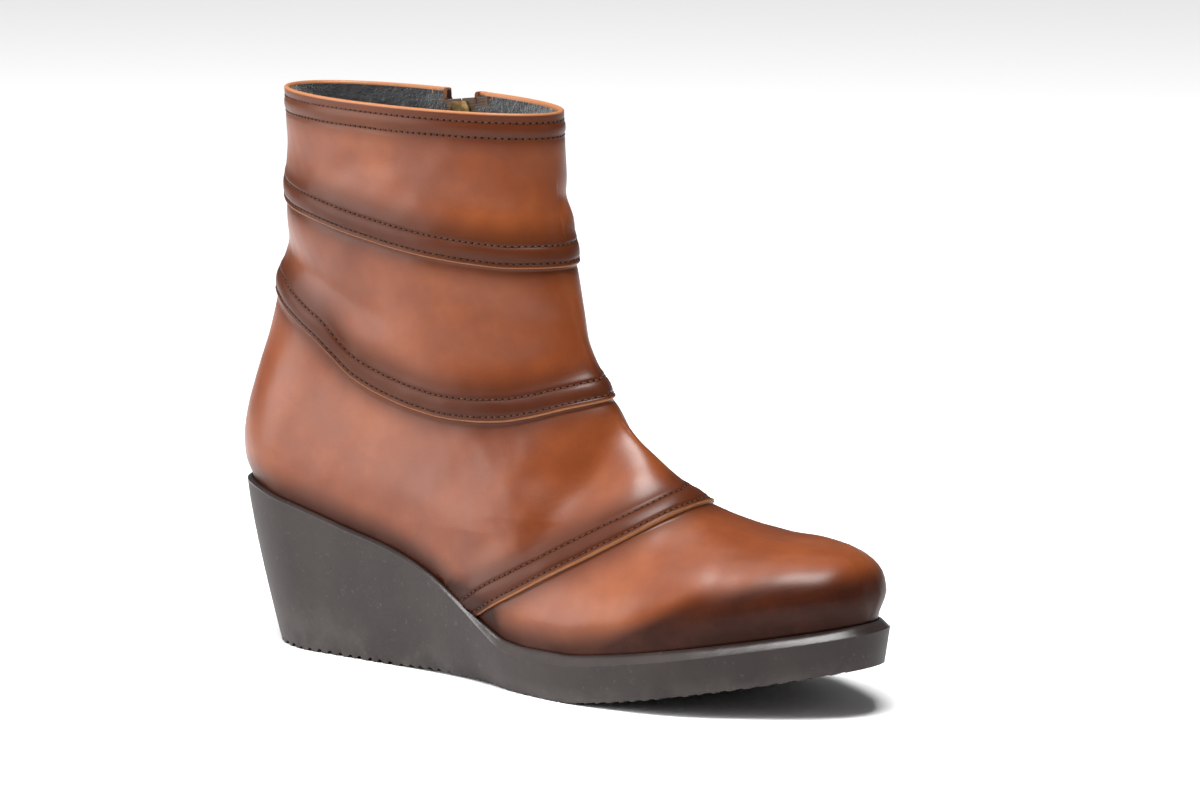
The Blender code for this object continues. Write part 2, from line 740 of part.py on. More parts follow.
# Zip: two tapes behind the slot, two rows of teeth on them, the slider and its pull
def zip_frame(z):
    """The zip's middle at a height: its place on the leather's face and its directions."""
    x = (slot_back(z) + slot_front(z)) / 2
    ahead, above = 1e-4, z + 1e-4
    up_x = (slot_back(above) + slot_front(above)) / 2 - x
    along = np.array([up_x, 0.0, 1e-4])
    along /= np.linalg.norm(along)
    return float(x), along


def on_leather(x, z, depth):
    """A point at a depth behind the leather's outer face, and the way out there."""
    side = np.array(1.0)
    face_y = float(upper_middle(x, z) + upper_half(x, z, side))
    step = 1e-4
    by_x = (float(upper_middle(x + step, z) + upper_half(x + step, z, side)) - face_y) / step
    by_z = (float(upper_middle(x, z + step) + upper_half(x, z + step, side)) - face_y) / step
    out = np.array([-by_x, 1.0, -by_z])
    out /= np.linalg.norm(out)
    return np.array([x, face_y, z]) - out * depth, out


def zip_point(z, across, depth):
    """A point beside the zip's middle line. across is measured toward the toe."""
    x, along = zip_frame(z)
    return on_leather(x + across * along[2], z - across * along[0], depth)[0]


TAPE_DEPTH = UPPER_WALL + FIT_GAP
tape_top = COLLAR_HEIGHT - TAPE_BELOW_COLLAR
tape_rows = np.linspace(SLOT_FOOT - TAPE_BELOW_SLOT, tape_top, 14)
for name, side in (("zip_tape_back", -1.0), ("zip_tape_front", 1.0)):
    rings = []
    for z in tape_rows:
        inner_edge, outer_edge = side * TAPE_PARTING / 2, side * TAPE_WIDTH
        middle = (inner_edge + outer_edge) / 2
        face = [zip_point(z, across, TAPE_DEPTH) for across in (inner_edge, middle, outer_edge)]
        back = [
            zip_point(z, across, TAPE_DEPTH + TAPE_THICKNESS)
            for across in (outer_edge, middle, inner_edge)
        ]
        rings.append(face + back)
    add_block_loft(name, np.array(rings), tape)

teeth_top = tape_top - SLIDER_TOP - SLIDER_LENGTH - FIT_GAP
teeth_foot = SLOT_FOOT + TEETH_ABOVE_FOOT
tooth_count = int((teeth_top - teeth_foot) / TOOTH_PITCH)
half_steps = teeth_top - np.arange(2 * tooth_count + 1) * TOOTH_PITCH / 2
for name, side in (("zip_teeth_back", -1.0), ("zip_teeth_front", 1.0)):
    rings = []
    for number, z in enumerate(half_steps):
        swing = TOOTH_REACH if number % 2 else -TOOTH_REACH
        inner_edge = swing + side * TEETH_PARTING / 2
        outer_edge = side * CHAIN_WIDTH / 2
        low = TAPE_DEPTH - FIT_GAP
        crest = low - TEETH_HEIGHT + (TOOTH_DIP if swing * side > 0 else 0.0)
        rings.append(
            [
                zip_point(z, inner_edge, low),
                zip_point(z, outer_edge, low - TEETH_HEIGHT / 3),
                zip_point(z, inner_edge, crest),
            ]
        )
    add_block_loft(name, np.array(rings), brass)

slider_z = tape_top - SLIDER_TOP - SLIDER_LENGTH / 2
slider_x, slider_along = zip_frame(slider_z)
slider_origin, slider_out = on_leather(slider_x, slider_z, TAPE_DEPTH)
slider_up = slider_along - slider_out * float(slider_along @ slider_out)
slider_up /= np.linalg.norm(slider_up)
slider_across = np.cross(slider_up, slider_out)


def in_slider(across, up, out):
    """A point in the slider's own frame, measured from its middle on the tape's face."""
    return slider_origin + slider_across * across + slider_up * up + slider_out * out


def add_plate(name, outline, low, high, material):
    """A flat plate in the slider's frame between two heights above the tape."""
    rings = [[in_slider(across, up, out) for across, up in outline] for out in (low, high)]
    return add_block_loft(name, np.array(rings), material)


def bar(half_across, low_up, high_up):
    return [
        (-half_across, low_up),
        (half_across, low_up),
        (half_across, high_up),
        (-half_across, high_up),
    ]


plate_low = TEETH_HEIGHT + 2 * FIT_GAP
plate_high = plate_low + SLIDER_PLATE
half_length, half_width = SLIDER_LENGTH / 2, SLIDER_WIDTH / 2
shield = [
    (-half_width * 0.62, -half_length),
    (half_width * 0.62, -half_length),
    (half_width * 0.74, 0.0),
    (half_width, half_length * 0.55),
    (half_width * 0.72, half_length),
    (-half_width * 0.72, half_length),
    (-half_width, half_length * 0.55),
    (-half_width * 0.74, 0.0),
]
slider = add_plate("zip_slider", shield, plate_low, plate_high, brass)
bridge_top = plate_high + BRIDGE_HEIGHT
neck_half = (TAPE_PARTING - FIT_GAP) / 2
back_high = -TAPE_THICKNESS - FIT_GAP
back_low = back_high - SLIDER_PLATE
neck_low, neck_high = back_high - SLIDER_PLATE / 2, plate_low + SLIDER_PLATE / 2
neck_outline = bar(neck_half, -0.2 * half_length, 0.8 * half_length)
bridge_outline = bar(BRIDGE_WIDTH / 2, -BRIDGE_LENGTH / 2, BRIDGE_LENGTH / 2)
combine(
    slider,
    [
        add_plate("neck", neck_outline, neck_low, neck_high, brass),
        add_plate("back_plate", shield, back_low, back_high, brass),
        add_plate("bridge", bridge_outline, neck_high, bridge_top, brass),
    ],
    "UNION",
)
tunnel = PULL_BAR + 4 * FIT_GAP
tunnel_low = plate_high + FIT_GAP
tunnel_outline = bar(BRIDGE_WIDTH * 2, -tunnel / 2, tunnel / 2)
cut = add_plate("tunnel", tunnel_outline, tunnel_low, tunnel_low + tunnel, brass)
combine(slider, [cut], "DIFFERENCE")

# The pull's bar runs through the bridge and turns about the bridge's middle
axis_out = tunnel_low + tunnel / 2
pull_half = PULL_WIDTH / 2
outline = [
    (-PULL_TIP_WIDTH / 2, -PULL_LENGTH),
    (PULL_TIP_WIDTH / 2, -PULL_LENGTH),
    (pull_half, PULL_BAR / 2),
    (-pull_half, PULL_BAR / 2),
]
pull_low, pull_high = axis_out - PULL_THICKNESS / 2, axis_out + PULL_THICKNESS / 2
pull = add_plate("zip_pull", outline, pull_low, pull_high, brass)
fork = bar(BRIDGE_WIDTH / 2 + FIT_GAP, -PULL_WINDOW_LENGTH, -PULL_BAR / 2)
tip_start = -PULL_LENGTH + PULL_TIP_BAR
tip = bar(PULL_TIP_WINDOW / 2, tip_start, tip_start + PULL_TIP_WINDOW)
for outline in (fork, tip):
    under, over = pull_low - PULL_THICKNESS, pull_high + PULL_THICKNESS
    combine(pull, [add_plate("window", outline, under, over, brass)], "DIFFERENCE")

# Put the origin under the middle of the boot's box
meshes = [thing for thing in bpy.data.objects if thing.type == "MESH"]
points = np.array([vert.co for thing in meshes for vert in thing.data.vertices])
low, high = points.min(0), points.max(0)
SHIFT = -np.array([(low[0] + high[0]) / 2, (low[1] + high[1]) / 2, low[2]])
for thing in meshes:
    for vert in thing.data.vertices:
        vert.co += type(vert.co)(SHIFT)

# The pull's own origin lies on its hinge
hinge = type(pull.location)(in_slider(0.0, 0.0, axis_out) + SHIFT)
for vert in pull.data.vertices:
    vert.co -= hinge
pull.location = hinge
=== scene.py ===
"""Looks of a brown leather wedge ankle boot with an inside zip, for Blender 4.5.

Lengths are metres. X runs from heel to toe, the outer side of the foot is -Y, the inner
side with the zip is +Y, and the ground is at Z 0.
"""

import math

import bmesh
import bpy
import numpy as np
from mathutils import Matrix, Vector


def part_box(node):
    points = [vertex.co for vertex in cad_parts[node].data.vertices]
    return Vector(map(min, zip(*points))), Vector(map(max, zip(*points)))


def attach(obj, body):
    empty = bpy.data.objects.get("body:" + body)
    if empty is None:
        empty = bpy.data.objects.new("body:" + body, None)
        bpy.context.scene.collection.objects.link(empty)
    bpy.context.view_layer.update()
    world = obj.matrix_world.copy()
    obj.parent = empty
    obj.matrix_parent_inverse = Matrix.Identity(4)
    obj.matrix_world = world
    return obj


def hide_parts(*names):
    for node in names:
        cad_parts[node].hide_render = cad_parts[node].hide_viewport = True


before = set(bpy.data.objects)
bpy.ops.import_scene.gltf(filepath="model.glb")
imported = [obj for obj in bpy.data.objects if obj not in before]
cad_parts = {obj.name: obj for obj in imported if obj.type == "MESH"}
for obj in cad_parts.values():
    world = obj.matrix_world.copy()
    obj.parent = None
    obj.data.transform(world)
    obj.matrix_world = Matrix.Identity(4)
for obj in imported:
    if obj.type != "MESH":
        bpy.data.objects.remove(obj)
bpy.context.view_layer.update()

# Sole unit. One moulding of dark brown rubber: a wedge with a leaning side wall, a glossy
# bevelled rim round the leather, a recessed seat under the upper and a tread of low ribs.
# It is moulded in one piece and cemented to the lasted upper.
# The sum of both sides' greatest shares in PLAN, as its curves give them
BALL_SHARES = 1.976
sole_low, sole_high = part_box("sole_unit")
BOOT_START = sole_low.x
SOLE_LENGTH = sole_high.x - sole_low.x
BALL_HALF = (sole_high.y - sole_low.y) / BALL_SHARES
BOOT_MIDDLE = sole_low.y + BALL_HALF
HEEL_HEIGHT = 0.0545
BALL_THICKNESS = 0.0125
TOE_THICKNESS = 0.0110
TOE_SPRING = 0.0165
SPRING_START = 0.157
ARCH_LIFT = 0.0008
HEEL_RAKE = 0.0125
TOE_RAKE = 0.0018
HEEL_SIDE_RAKE = 0.0045
BALL_SIDE_RAKE = 0.0018
HEEL_ROUND = 0.032
TOE_ROUND = 0.060
RIM_WIDTH_HEEL = 0.0012
RIM_WIDTH_TOE = 0.0030
RIM_RISE_HEEL = 0.0006
RIM_RISE_TOE = 0.0030
RIM_LAND = 0.0005
SEAT_DEPTH = 0.0035
RIB_PITCH = 0.0044
RIB_LAND = 0.0027
RIB_DEPTH = 0.0012
RIB_EDGE = 0.0003
FIRST_RIB = 0.016625
RIBS_SHORT_OF_TOE = 0.016



def table(names, *rows):
    """Rows of numbers whose columns are read by name."""
    return np.rec.fromrecords(rows, names=names.split())


# The sole's top edge seen from above, as shares of its length and of half its ball width.
PLAN = table(
    "along outer inner",
    (0.00, 0.70, 0.70), (0.12, 0.71, 0.70), (0.22, 0.73, 0.67), (0.34, 0.76, 0.60),
    (0.44, 0.83, 0.61), (0.54, 0.94, 0.73), (0.64, 1.00, 0.90), (0.72, 0.98, 0.98),
    (0.80, 0.91, 0.97), (0.88, 0.80, 0.88), (1.00, 0.66, 0.74),
)
# The wedge's top edge from the side, as a share of the heel's height above the ball's.
WEDGE = table(
    "along height",
    (0.00, 1.000), (0.05, 0.990), (0.125, 0.900), (0.23, 0.755), (0.315, 0.640), (0.385, 0.490),
    (0.44, 0.310), (0.49, 0.135), (0.525, 0.035), (0.565, 0.000), (1.00, 0.000),
)


def smooth_curve(at, values):
    """A cubic through the given points whose slope at each is the harmonic mean of the
    slopes beside it, so that it never overshoots."""
    at, values = np.asarray(at, float), np.asarray(values, float)
    step = np.diff(at)
    slope = np.diff(values) / step
    tangent = np.zeros(len(at))
    same = slope[:-1] * slope[1:] > 0
    before, after = 2 * step[1:] + step[:-1], step[1:] + 2 * step[:-1]
    inside = np.where(same, slope[:-1] * slope[1:], 1.0)
    share = before * slope[1:] + after * slope[:-1]
    tangent[1:-1] = np.where(same, (before + after) * inside / np.where(same, share, 1.0), 0.0)
    tangent[0], tangent[-1] = slope[0], slope[-1]

    def curve(position):
        position = np.clip(np.asarray(position, float), at[0], at[-1])
        span = np.clip(np.searchsorted(at, position, side="right") - 1, 0, len(step) - 1)
        width = step[span]
        part = (position - at[span]) / width
        return (
            values[span] * (1 + 2 * part) * (1 - part) ** 2
            + tangent[span] * width * part * (1 - part) ** 2
            + values[span + 1] * part**2 * (3 - 2 * part)
            + tangent[span + 1] * width * part**2 * (part - 1)
        )

    return curve


def ease(value):
    """0 below 0, 1 above 1, and the cubic 3 v^2 - 2 v^3 between them."""
    value = np.clip(value, 0.0, 1.0)
    return value * value * (3 - 2 * value)


def quarter_round(share, power=2.0):
    """The height of a rounded end: (1 - (1 - share)^power)^(1 / power)."""
    share = np.clip(share, 0.0, 1.0)
    return np.clip(1 - (1 - share) ** power, 0.0, 1.0) ** (1 / power)


def bump(distance, width):
    """A soft ridge, exp(-(distance / width)^2)."""
    return np.exp(-((distance / width) ** 2))


plan_outer = smooth_curve(PLAN.along, PLAN.outer)
plan_inner = smooth_curve(PLAN.along, PLAN.inner)
wedge_share = smooth_curve(WEDGE.along, WEDGE.height)


def plan_half(x, side):
    """Half width of the sole's top edge before its ends are rounded."""
    share = np.where(side < 0, plan_outer(x / SOLE_LENGTH), plan_inner(x / SOLE_LENGTH))
    return BALL_HALF * share


def toe_share(x):
    """0 on the heel, 1 on the forefoot, for what changes along the waist."""
    return ease((x / SOLE_LENGTH - 0.40) / 0.18)


def ground_line(x):
    """Height of the tread's face: flat at heel and ball, a rising power at the toe."""
    reach = np.clip((x - SPRING_START) / (SOLE_LENGTH - SPRING_START), 0.0, 1.1)
    arch = 1 - np.clip(np.abs(x / SOLE_LENGTH - 0.42) / 0.10, 0.0, 1.0) ** 2
    return TOE_SPRING * reach**1.15 + ARCH_LIFT * arch


def rim_edge(x):
    """Height of the outer edge of the sole's top."""
    toe_part = np.clip((x - SPRING_START) / (SOLE_LENGTH - SPRING_START), 0.0, 1.0)
    thickness = BALL_THICKNESS + (TOE_THICKNESS - BALL_THICKNESS) * toe_part
    spring = TOE_SPRING * toe_part**1.15
    return thickness + spring + (HEEL_HEIGHT - BALL_THICKNESS) * wedge_share(x / SOLE_LENGTH)


def rim_width(x):
    return RIM_WIDTH_HEEL + (RIM_WIDTH_TOE - RIM_WIDTH_HEEL) * toe_share(x)


def rim_top(x):
    """Height of the line where the leather comes out of the sole."""
    return rim_edge(x) + RIM_RISE_HEEL + (RIM_RISE_TOE - RIM_RISE_HEEL) * toe_share(x)


def rib_notch(x):
    """Depth of the tread's grooves along the sole: a row of flat-topped notches."""
    place = np.mod(x - FIRST_RIB, RIB_PITCH)
    groove = RIB_PITCH - RIB_LAND
    shape = np.clip(place / RIB_EDGE, 0, 1) * np.clip((groove - place) / RIB_EDGE + 1, 0, 1)
    return RIB_DEPTH * shape * (x > FIRST_RIB) * (x < SOLE_LENGTH - 0.006)


def sole_ring(x, inset_back, inset_toe, inset_side, height):
    """A closed ring at the sole's outline, drawn in by insets, at a given height over x."""
    share = x / SOLE_LENGTH
    drawn = inset_back + share * (SOLE_LENGTH - inset_back - inset_toe)
    rounding = quarter_round(x / HEEL_ROUND) * quarter_round((SOLE_LENGTH - x) / TOE_ROUND)
    level = height(drawn)
    outer = -(plan_half(x, -1) - inset_side) * rounding
    inner = (plan_half(x, 1) - inset_side) * rounding
    there = np.stack([drawn, outer, level], 1)
    back = np.stack([drawn, inner, level], 1)[-2:0:-1]
    return np.concatenate([there, back])


def in_place(points):
    """From the boot's own start and middle line to the row frame."""
    return points + np.array([BOOT_START, BOOT_MIDDLE, 0.0])


def sheet_faces(rows, columns, closed, first=0):
    """Quads of a grid of points, row by row, closed round the columns if asked."""
    low, place = np.meshgrid(np.arange(rows - 1), np.arange(columns - (not closed)), indexing="ij")
    after = (place + 1) % columns
    quads = np.stack(
        [
            low * columns + place,
            low * columns + after,
            (low + 1) * columns + after,
            (low + 1) * columns + place,
        ],
        -1,
    )
    return first + quads.reshape(-1, 4)


def add_mesh(name, points, quads, material, layers=None, weld=1e-6):
    """An object from arrays: points, quads and named values at the points. Points that
    coincide are welded, which closes seams and poles."""
    mesh = bpy.data.meshes.new(name)
    mesh.vertices.add(len(points))
    mesh.vertices.foreach_set("co", np.asarray(points, np.float32).ravel())
    mesh.loops.add(quads.size)
    mesh.loops.foreach_set("vertex_index", quads.astype(np.int32).ravel())
    mesh.polygons.add(len(quads))
    mesh.polygons.foreach_set("loop_start", np.arange(0, quads.size, 4, dtype=np.int32))
    mesh.update(calc_edges=True)
    for layer, values in (layers or {}).items():
        stored = mesh.attributes.new(layer, "FLOAT", "POINT")
        stored.data.foreach_set("value", np.asarray(values, np.float32).ravel())
    if weld:
        work = bmesh.new()
        work.from_mesh(mesh)
        bmesh.ops.remove_doubles(work, verts=work.verts, dist=weld)
        bmesh.ops.dissolve_degenerate(work, edges=work.edges, dist=weld)
        work.to_mesh(mesh)
        work.free()
    mesh.shade_smooth()
    mesh.materials.append(material)
    thing = bpy.data.objects.new(name, mesh)
    bpy.context.scene.collection.objects.link(thing)
    return thing


class Value:
    """A socket in a material's nodes, which can be used in sums like a number."""

    def __init__(self, tree, socket):
        self.tree, self.socket = tree, socket

    def node(self, kind, settings=None, inputs=None, output=0):
        """Add a node with its settings, then its sockets' values or links."""
        added = self.tree.nodes.new(kind)
        for name, setting in (settings or {}).items():
            if name == "stops":
                while len(added.color_ramp.elements) < len(setting):
                    added.color_ramp.elements.new(0.5)
                for element, (place, colour) in zip(added.color_ramp.elements, setting):
                    element.position, element.color = place, (*colour, 1.0)
            else:
                setattr(added, name, setting)
        for name, given in (inputs or {}).items():
            if isinstance(given, Value):
                self.tree.links.new(given.socket, added.inputs[name])
            else:
                added.inputs[name].default_value = given
        return Value(self.tree, added.outputs[output])

    def maths(self, operation, *values):
        return self.node("ShaderNodeMath", {"operation": operation}, dict(enumerate(values)))

    def __add__(self, other):
        return self.maths("ADD", self, other)

    def __sub__(self, other):
        return self.maths("SUBTRACT", self, other)

    def __rsub__(self, other):
        return self.maths("SUBTRACT", other, self)

    def __mul__(self, other):
        return self.maths("MULTIPLY", self, other)

    __radd__ = __add__
    __rmul__ = __mul__

    def ramp(self, *stops):
        """Read off a colour ramp at this value."""
        return self.node("ShaderNodeValToRGB", {"stops": stops}, {"Fac": self})

    def between(self, low, high):
        """0 below low, 1 above high, and smooth between."""
        settings = {"interpolation_type": "SMOOTHSTEP"}
        names = {"Value": self, "From Min": low, "From Max": high}
        return self.node("ShaderNodeMapRange", settings, names)

    def blend(self, first, second):
        """Mix two colours by this value."""
        sockets = {0: self, 6: first, 7: second}
        return self.node("ShaderNodeMix", {"data_type": "RGBA", "clamp_factor": True}, sockets, 2)

    def noise(self, scale, detail, rough):
        sockets = {"Vector": self, "Scale": scale, "Detail": detail, "Roughness": rough}
        return self.node("ShaderNodeTexNoise", None, sockets)

    def stored(self, name):
        """Values kept at the mesh's points under a name."""
        return self.node("ShaderNodeAttribute", {"attribute_name": name}, output=2)


def new_look(name):
    """A material, its shader node and the Object coordinates to start its patterns from."""
    material = bpy.data.materials.new(name)
    material.use_nodes = True
    shader = material.node_tree.nodes["Principled BSDF"]
    start = Value(material.node_tree, None)
    here = start.node("ShaderNodeTexCoord", output=3)
    return material, shader, here


def plug(shader, **sockets):
    """Set or link the shader's sockets. An underscore in a name stands for a space."""
    for name, given in sockets.items():
        socket = shader.inputs[name.replace("_", " ")]
        if isinstance(given, Value):
            given.tree.links.new(given.socket, socket)
        else:
            socket.default_value = given


def relief(height, strength, distance, under=None):
    """A Bump node from a height, over another bump if one is given."""
    sockets = {"Height": height, "Strength": strength, "Distance": distance}
    if under is not None:
        sockets["Normal"] = under
    return height.node("ShaderNodeBump", None, sockets)


rubber, shader, here = new_look("rubber")
bevel_mask = here.stored("bevel")
low_mask = here.stored("low")
mottle = here.noise(60, 4, 0.6)
scuff = here.noise(420, 3, 0.7).between(0.60, 0.75)
dust = (low_mask * mottle.between(0.35, 0.7)) * 0.6
body_colour = mottle.ramp((0.3, (0.0130, 0.0085, 0.0074)), (0.75, (0.0230, 0.0160, 0.0140)))
worn = (scuff * 0.35).blend(body_colour, (0.075, 0.066, 0.062, 1))
coloured = dust.blend(worn, (0.060, 0.050, 0.045, 1))
grain = here.noise(1900, 3, 0.6)
soft = here.noise(160, 3, 0.5)
tooth = relief(grain, 0.45, 0.00010)
plug(
    shader,
    Base_Color=coloured,
    Roughness=0.52 - bevel_mask * 0.28 + mottle * 0.12,
    Normal=relief(soft, 0.3, 0.0004, tooth),
    Specular_IOR_Level=0.29,
)

cosine = (1 - np.cos(np.linspace(0, math.pi, 170))) / 2 * SOLE_LENGTH
rib_starts = FIRST_RIB + np.arange(0, int((SOLE_LENGTH - RIBS_SHORT_OF_TOE) / RIB_PITCH)) * RIB_PITCH
groove = RIB_PITCH - RIB_LAND
corners = np.array([0.0, RIB_EDGE, groove, groove + RIB_EDGE])
rib_marks = (rib_starts[:, None] + corners).ravel()
rib_marks = rib_marks[rib_marks < SOLE_LENGTH - 0.004]
stations = np.unique(np.round(np.concatenate([cosine, rib_marks]), 6))
lean = HEEL_SIDE_RAKE + (BALL_SIDE_RAKE - HEEL_SIDE_RAKE) * toe_share(stations)
rings, bevel_values, low_values = [], [], []


def side_level(level):
    """The ring at a share of the side wall's height, leaning in towards the ground."""
    down = (1 - level) ** 1.25

    def height(x):
        notch = rib_notch(x) * (level == 0)
        return ground_line(x) + notch + (rim_edge(x) - ground_line(x) - notch) * level

    return sole_ring(stations, HEEL_RAKE * down, TOE_RAKE * (1 - level), lean * down, height)


def inset_ring(inset, height):
    return sole_ring(stations, inset[0], inset[-1], inset, height)


def add_ring(ring, bevel, low=0.0):
    rings.append(ring)
    bevel_values.append(np.full(len(ring), bevel))
    low_values.append(np.full(len(ring), low))


for level in (0.0, 0.03, 0.08, 0.18, 0.3, 0.45, 0.6, 0.75, 0.88, 0.95, 0.985, 1.0):
    add_ring(side_level(level), float(level == 1.0), max(0.0, 1 - level * 2.2))
for inward, upward in ((0.12, 0.10), (0.5, 0.55), (0.88, 0.97), (1.0, 1.0)):

    def bevel_height(x, upward=upward):
        return rim_edge(x) + (rim_top(x) - rim_edge(x)) * upward

    add_ring(inset_ring(rim_width(stations) * inward, bevel_height), 1.0)
for drop in (0.0, SEAT_DEPTH):
    seat_inset = rim_width(stations) + RIM_LAND
    add_ring(inset_ring(seat_inset, lambda x, d=drop: rim_top(x) - d), 0.0)
rings = np.array(rings)
wall_quads = sheet_faces(len(rings), rings.shape[1], True)


def across(ring, count, first):
    """Points on straight lines from a ring's outer side to its inner side, as a grid."""
    half = len(stations)
    outer = ring[:half]
    inner = np.concatenate([ring[:1], ring[half:][::-1], ring[half - 1 : half]])
    share = np.linspace(0, 1, count)[None, :, None]
    grid = outer[:, None] * (1 - share) + inner[:, None] * share
    return grid.reshape(-1, 3), sheet_faces(half, count, False, first)


first = rings.size // 3
tread, tread_quads = across(rings[0], 9, first)
seat_face, seat_quads = across(rings[-1], 5, first + len(tread))
points = np.concatenate([rings.reshape(-1, 3), tread, seat_face])
quads = np.concatenate([wall_quads, tread_quads[:, ::-1], seat_quads])
layers = {
    "bevel": np.concatenate([np.ravel(bevel_values), np.zeros(len(tread) + len(seat_face))]),
    "low": np.concatenate([np.ravel(low_values), np.ones(len(tread)), np.zeros(len(seat_face))]),
}
sole = add_mesh("sole_moulding", in_place(points), quads, rubber, layers, 2e-6)
sole.data.set_sharp_from_angle(angle=math.radians(40))
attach(sole, "boot")
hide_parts("sole_unit")

# Insole. A board covered with the same black fleece as the lining, laid over the turned-in
# edge of the upper. It keeps the shape of its solid and gets its cloth here.
fleece, shader, here = new_look("fleece")
tuft = here.noise(900, 4, 0.7)
clump = here.noise(220, 3, 0.6)
pile = clump.ramp((0.3, (0.010, 0.010, 0.011)), (0.62, (0.030, 0.030, 0.033)), (0.8, (0.10, 0.10, 0.105)))
plug(
    shader,
    Base_Color=pile,
    Roughness=0.95,
    Sheen_Weight=0.5,
    Sheen_Roughness=0.4,
    Normal=relief(tuft, 0.9, 0.0008, relief(clump, 0.8, 0.0015)),
)
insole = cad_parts["insole"]
insole.data.materials.clear()
insole.data.materials.append(fleece)

# Upper. Smooth chestnut calf leather in four panels, each overlapping the one below with a
# rolled, double-stitched seam: vamp, quarter, ankle panel and collar panel. It is sewn flat,
# pulled over the last, its edge turned in under the insole and cemented.
COLLAR_HEIGHT = 0.1830
UPPER_WALL = 0.0022
FIT_GAP = 0.0003
SEAM_STEP = 0.0012
WIDEST_ABOVE_RIM = 0.009
SIDE_BULGE = 0.0010
RIDGE_SHIFT = 0.004
SHAFT_TOE_OUT = 0.056
SHAFT_FROM = 0.004
SHAFT_BLEND = 0.055

# The middle line over toe, vamp and instep, then the one up the heel, in shares of
# SOLE_LENGTH and COLLAR_HEIGHT.
FRONT_LINE = table(
    "along height",
    (0.9860, 0.166), (0.9865, 0.195), (0.9830, 0.225), (0.9740, 0.253), (0.9580, 0.271),
    (0.9300, 0.281), (0.8800, 0.286), (0.8250, 0.290), (0.7800, 0.303), (0.7320, 0.329),
    (0.6950, 0.360), (0.6500, 0.417), (0.6100, 0.468), (0.5800, 0.515), (0.5600, 0.560),
    (0.5360, 0.659), (0.5150, 0.770), (0.5030, 0.880), (0.4990, 0.993),
)
BACK_LINE = table(
    "along height",
    (0.0080, 0.300), (-0.0040, 0.335), (-0.0075, 0.372), (-0.0040, 0.420), (0.0120, 0.510),
    (0.0280, 0.590), (0.0390, 0.690), (0.0470, 0.790), (0.0500, 0.880), (0.0440, 1.010),
)
# Level sections of the heel and shaft, in shares of COLLAR_HEIGHT and BALL_HALF.
SHAFT = table(
    "height outer inner back front",
    (0.30, 0.66, 0.66, 0.727, 1.20), (0.38, 0.575, 0.65, 0.75, 1.20),
    (0.50, 0.550, 0.62, 0.80, 1.25), (0.62, 0.585, 0.65, 1.00, 1.30),
    (0.78, 0.610, 0.65, 1.20, 1.30), (1.00, 0.625, 0.625, 1.27, 1.27),
)
# Each seam's lower edge in the side views, in shares of SOLE_LENGTH and COLLAR_HEIGHT.
COLLAR_SEAM = table(
    "along outer inner",
    (0.040, 0.828, 0.828), (0.085, 0.806, 0.812), (0.155, 0.790, 0.788), (0.240, 0.769, 0.757),
    (0.305, 0.754, 0.750), (0.370, 0.741, 0.743), (0.425, 0.733, 0.736), (0.475, 0.728, 0.731),
    (0.530, 0.728, 0.728),
)
ANKLE_SEAM = table(
    "along outer inner",
    (0.030, 0.650, 0.650), (0.075, 0.634, 0.617), (0.105, 0.614, 0.598), (0.167, 0.572, 0.558),
    (0.233, 0.508, 0.517), (0.298, 0.477, 0.489), (0.341, 0.464, 0.480), (0.384, 0.456, 0.471),
    (0.426, 0.454, 0.464), (0.467, 0.457, 0.465), (0.503, 0.466, 0.476), (0.543, 0.481, 0.490),
    (0.600, 0.502, 0.502),
)
VAMP_SEAM = table(
    "along outer inner",
    (0.400, 0.060, 0.100), (0.450, 0.106, 0.122), (0.500, 0.146, 0.141), (0.530, 0.168, 0.159),
    (0.568, 0.197, 0.190), (0.605, 0.225, 0.221), (0.640, 0.252, 0.253), (0.684, 0.288, 0.299),
    (0.706, 0.309, 0.318), (0.730, 0.333, 0.333), (0.800, 0.410, 0.410),
)
# The zip's slot in the inner side view, in shares of COLLAR_HEIGHT and SOLE_LENGTH.
SLOT = table(
    "height back front",
    (0.245, 0.347, 0.378), (0.300, 0.332, 0.364), (0.390, 0.314, 0.345), (0.500, 0.298, 0.331),
    (0.640, 0.281, 0.317), (0.770, 0.264, 0.302), (0.890, 0.246, 0.291), (1.000, 0.231, 0.287),
)

toe_seam = SOLE_LENGTH - RIM_WIDTH_TOE - RIM_LAND - FIT_GAP
heel_seam = RIM_WIDTH_HEEL + RIM_LAND + FIT_GAP
heel_seam_height = float(rim_top(0.0))
back_top = BACK_LINE[-1].height * COLLAR_HEIGHT
front_x = np.append(toe_seam, FRONT_LINE[1:].along * SOLE_LENGTH)
front_z = np.append(rim_top(SOLE_LENGTH), FRONT_LINE[1:].height * COLLAR_HEIGHT)
back_x = smooth_curve(
    np.append(heel_seam_height, BACK_LINE[1:].height * COLLAR_HEIGHT),
    np.append(heel_seam, BACK_LINE[1:].along * SOLE_LENGTH),
)
front_run = np.concatenate([[0.0], np.cumsum(np.hypot(np.diff(front_x), np.diff(front_z)))])
front_x_at = smooth_curve(front_run, front_x)
front_z_at = smooth_curve(front_run, front_z)
toe_corner = int(np.argmax(front_x))
top_height = smooth_curve(front_x[toe_corner:][::-1], front_z[toe_corner:][::-1])
front_reach = smooth_curve(front_z, front_x)
shaft_outer, shaft_inner, shaft_back, shaft_front = (
    smooth_curve(SHAFT.height, SHAFT[name]) for name in ("outer", "inner", "back", "front")
)


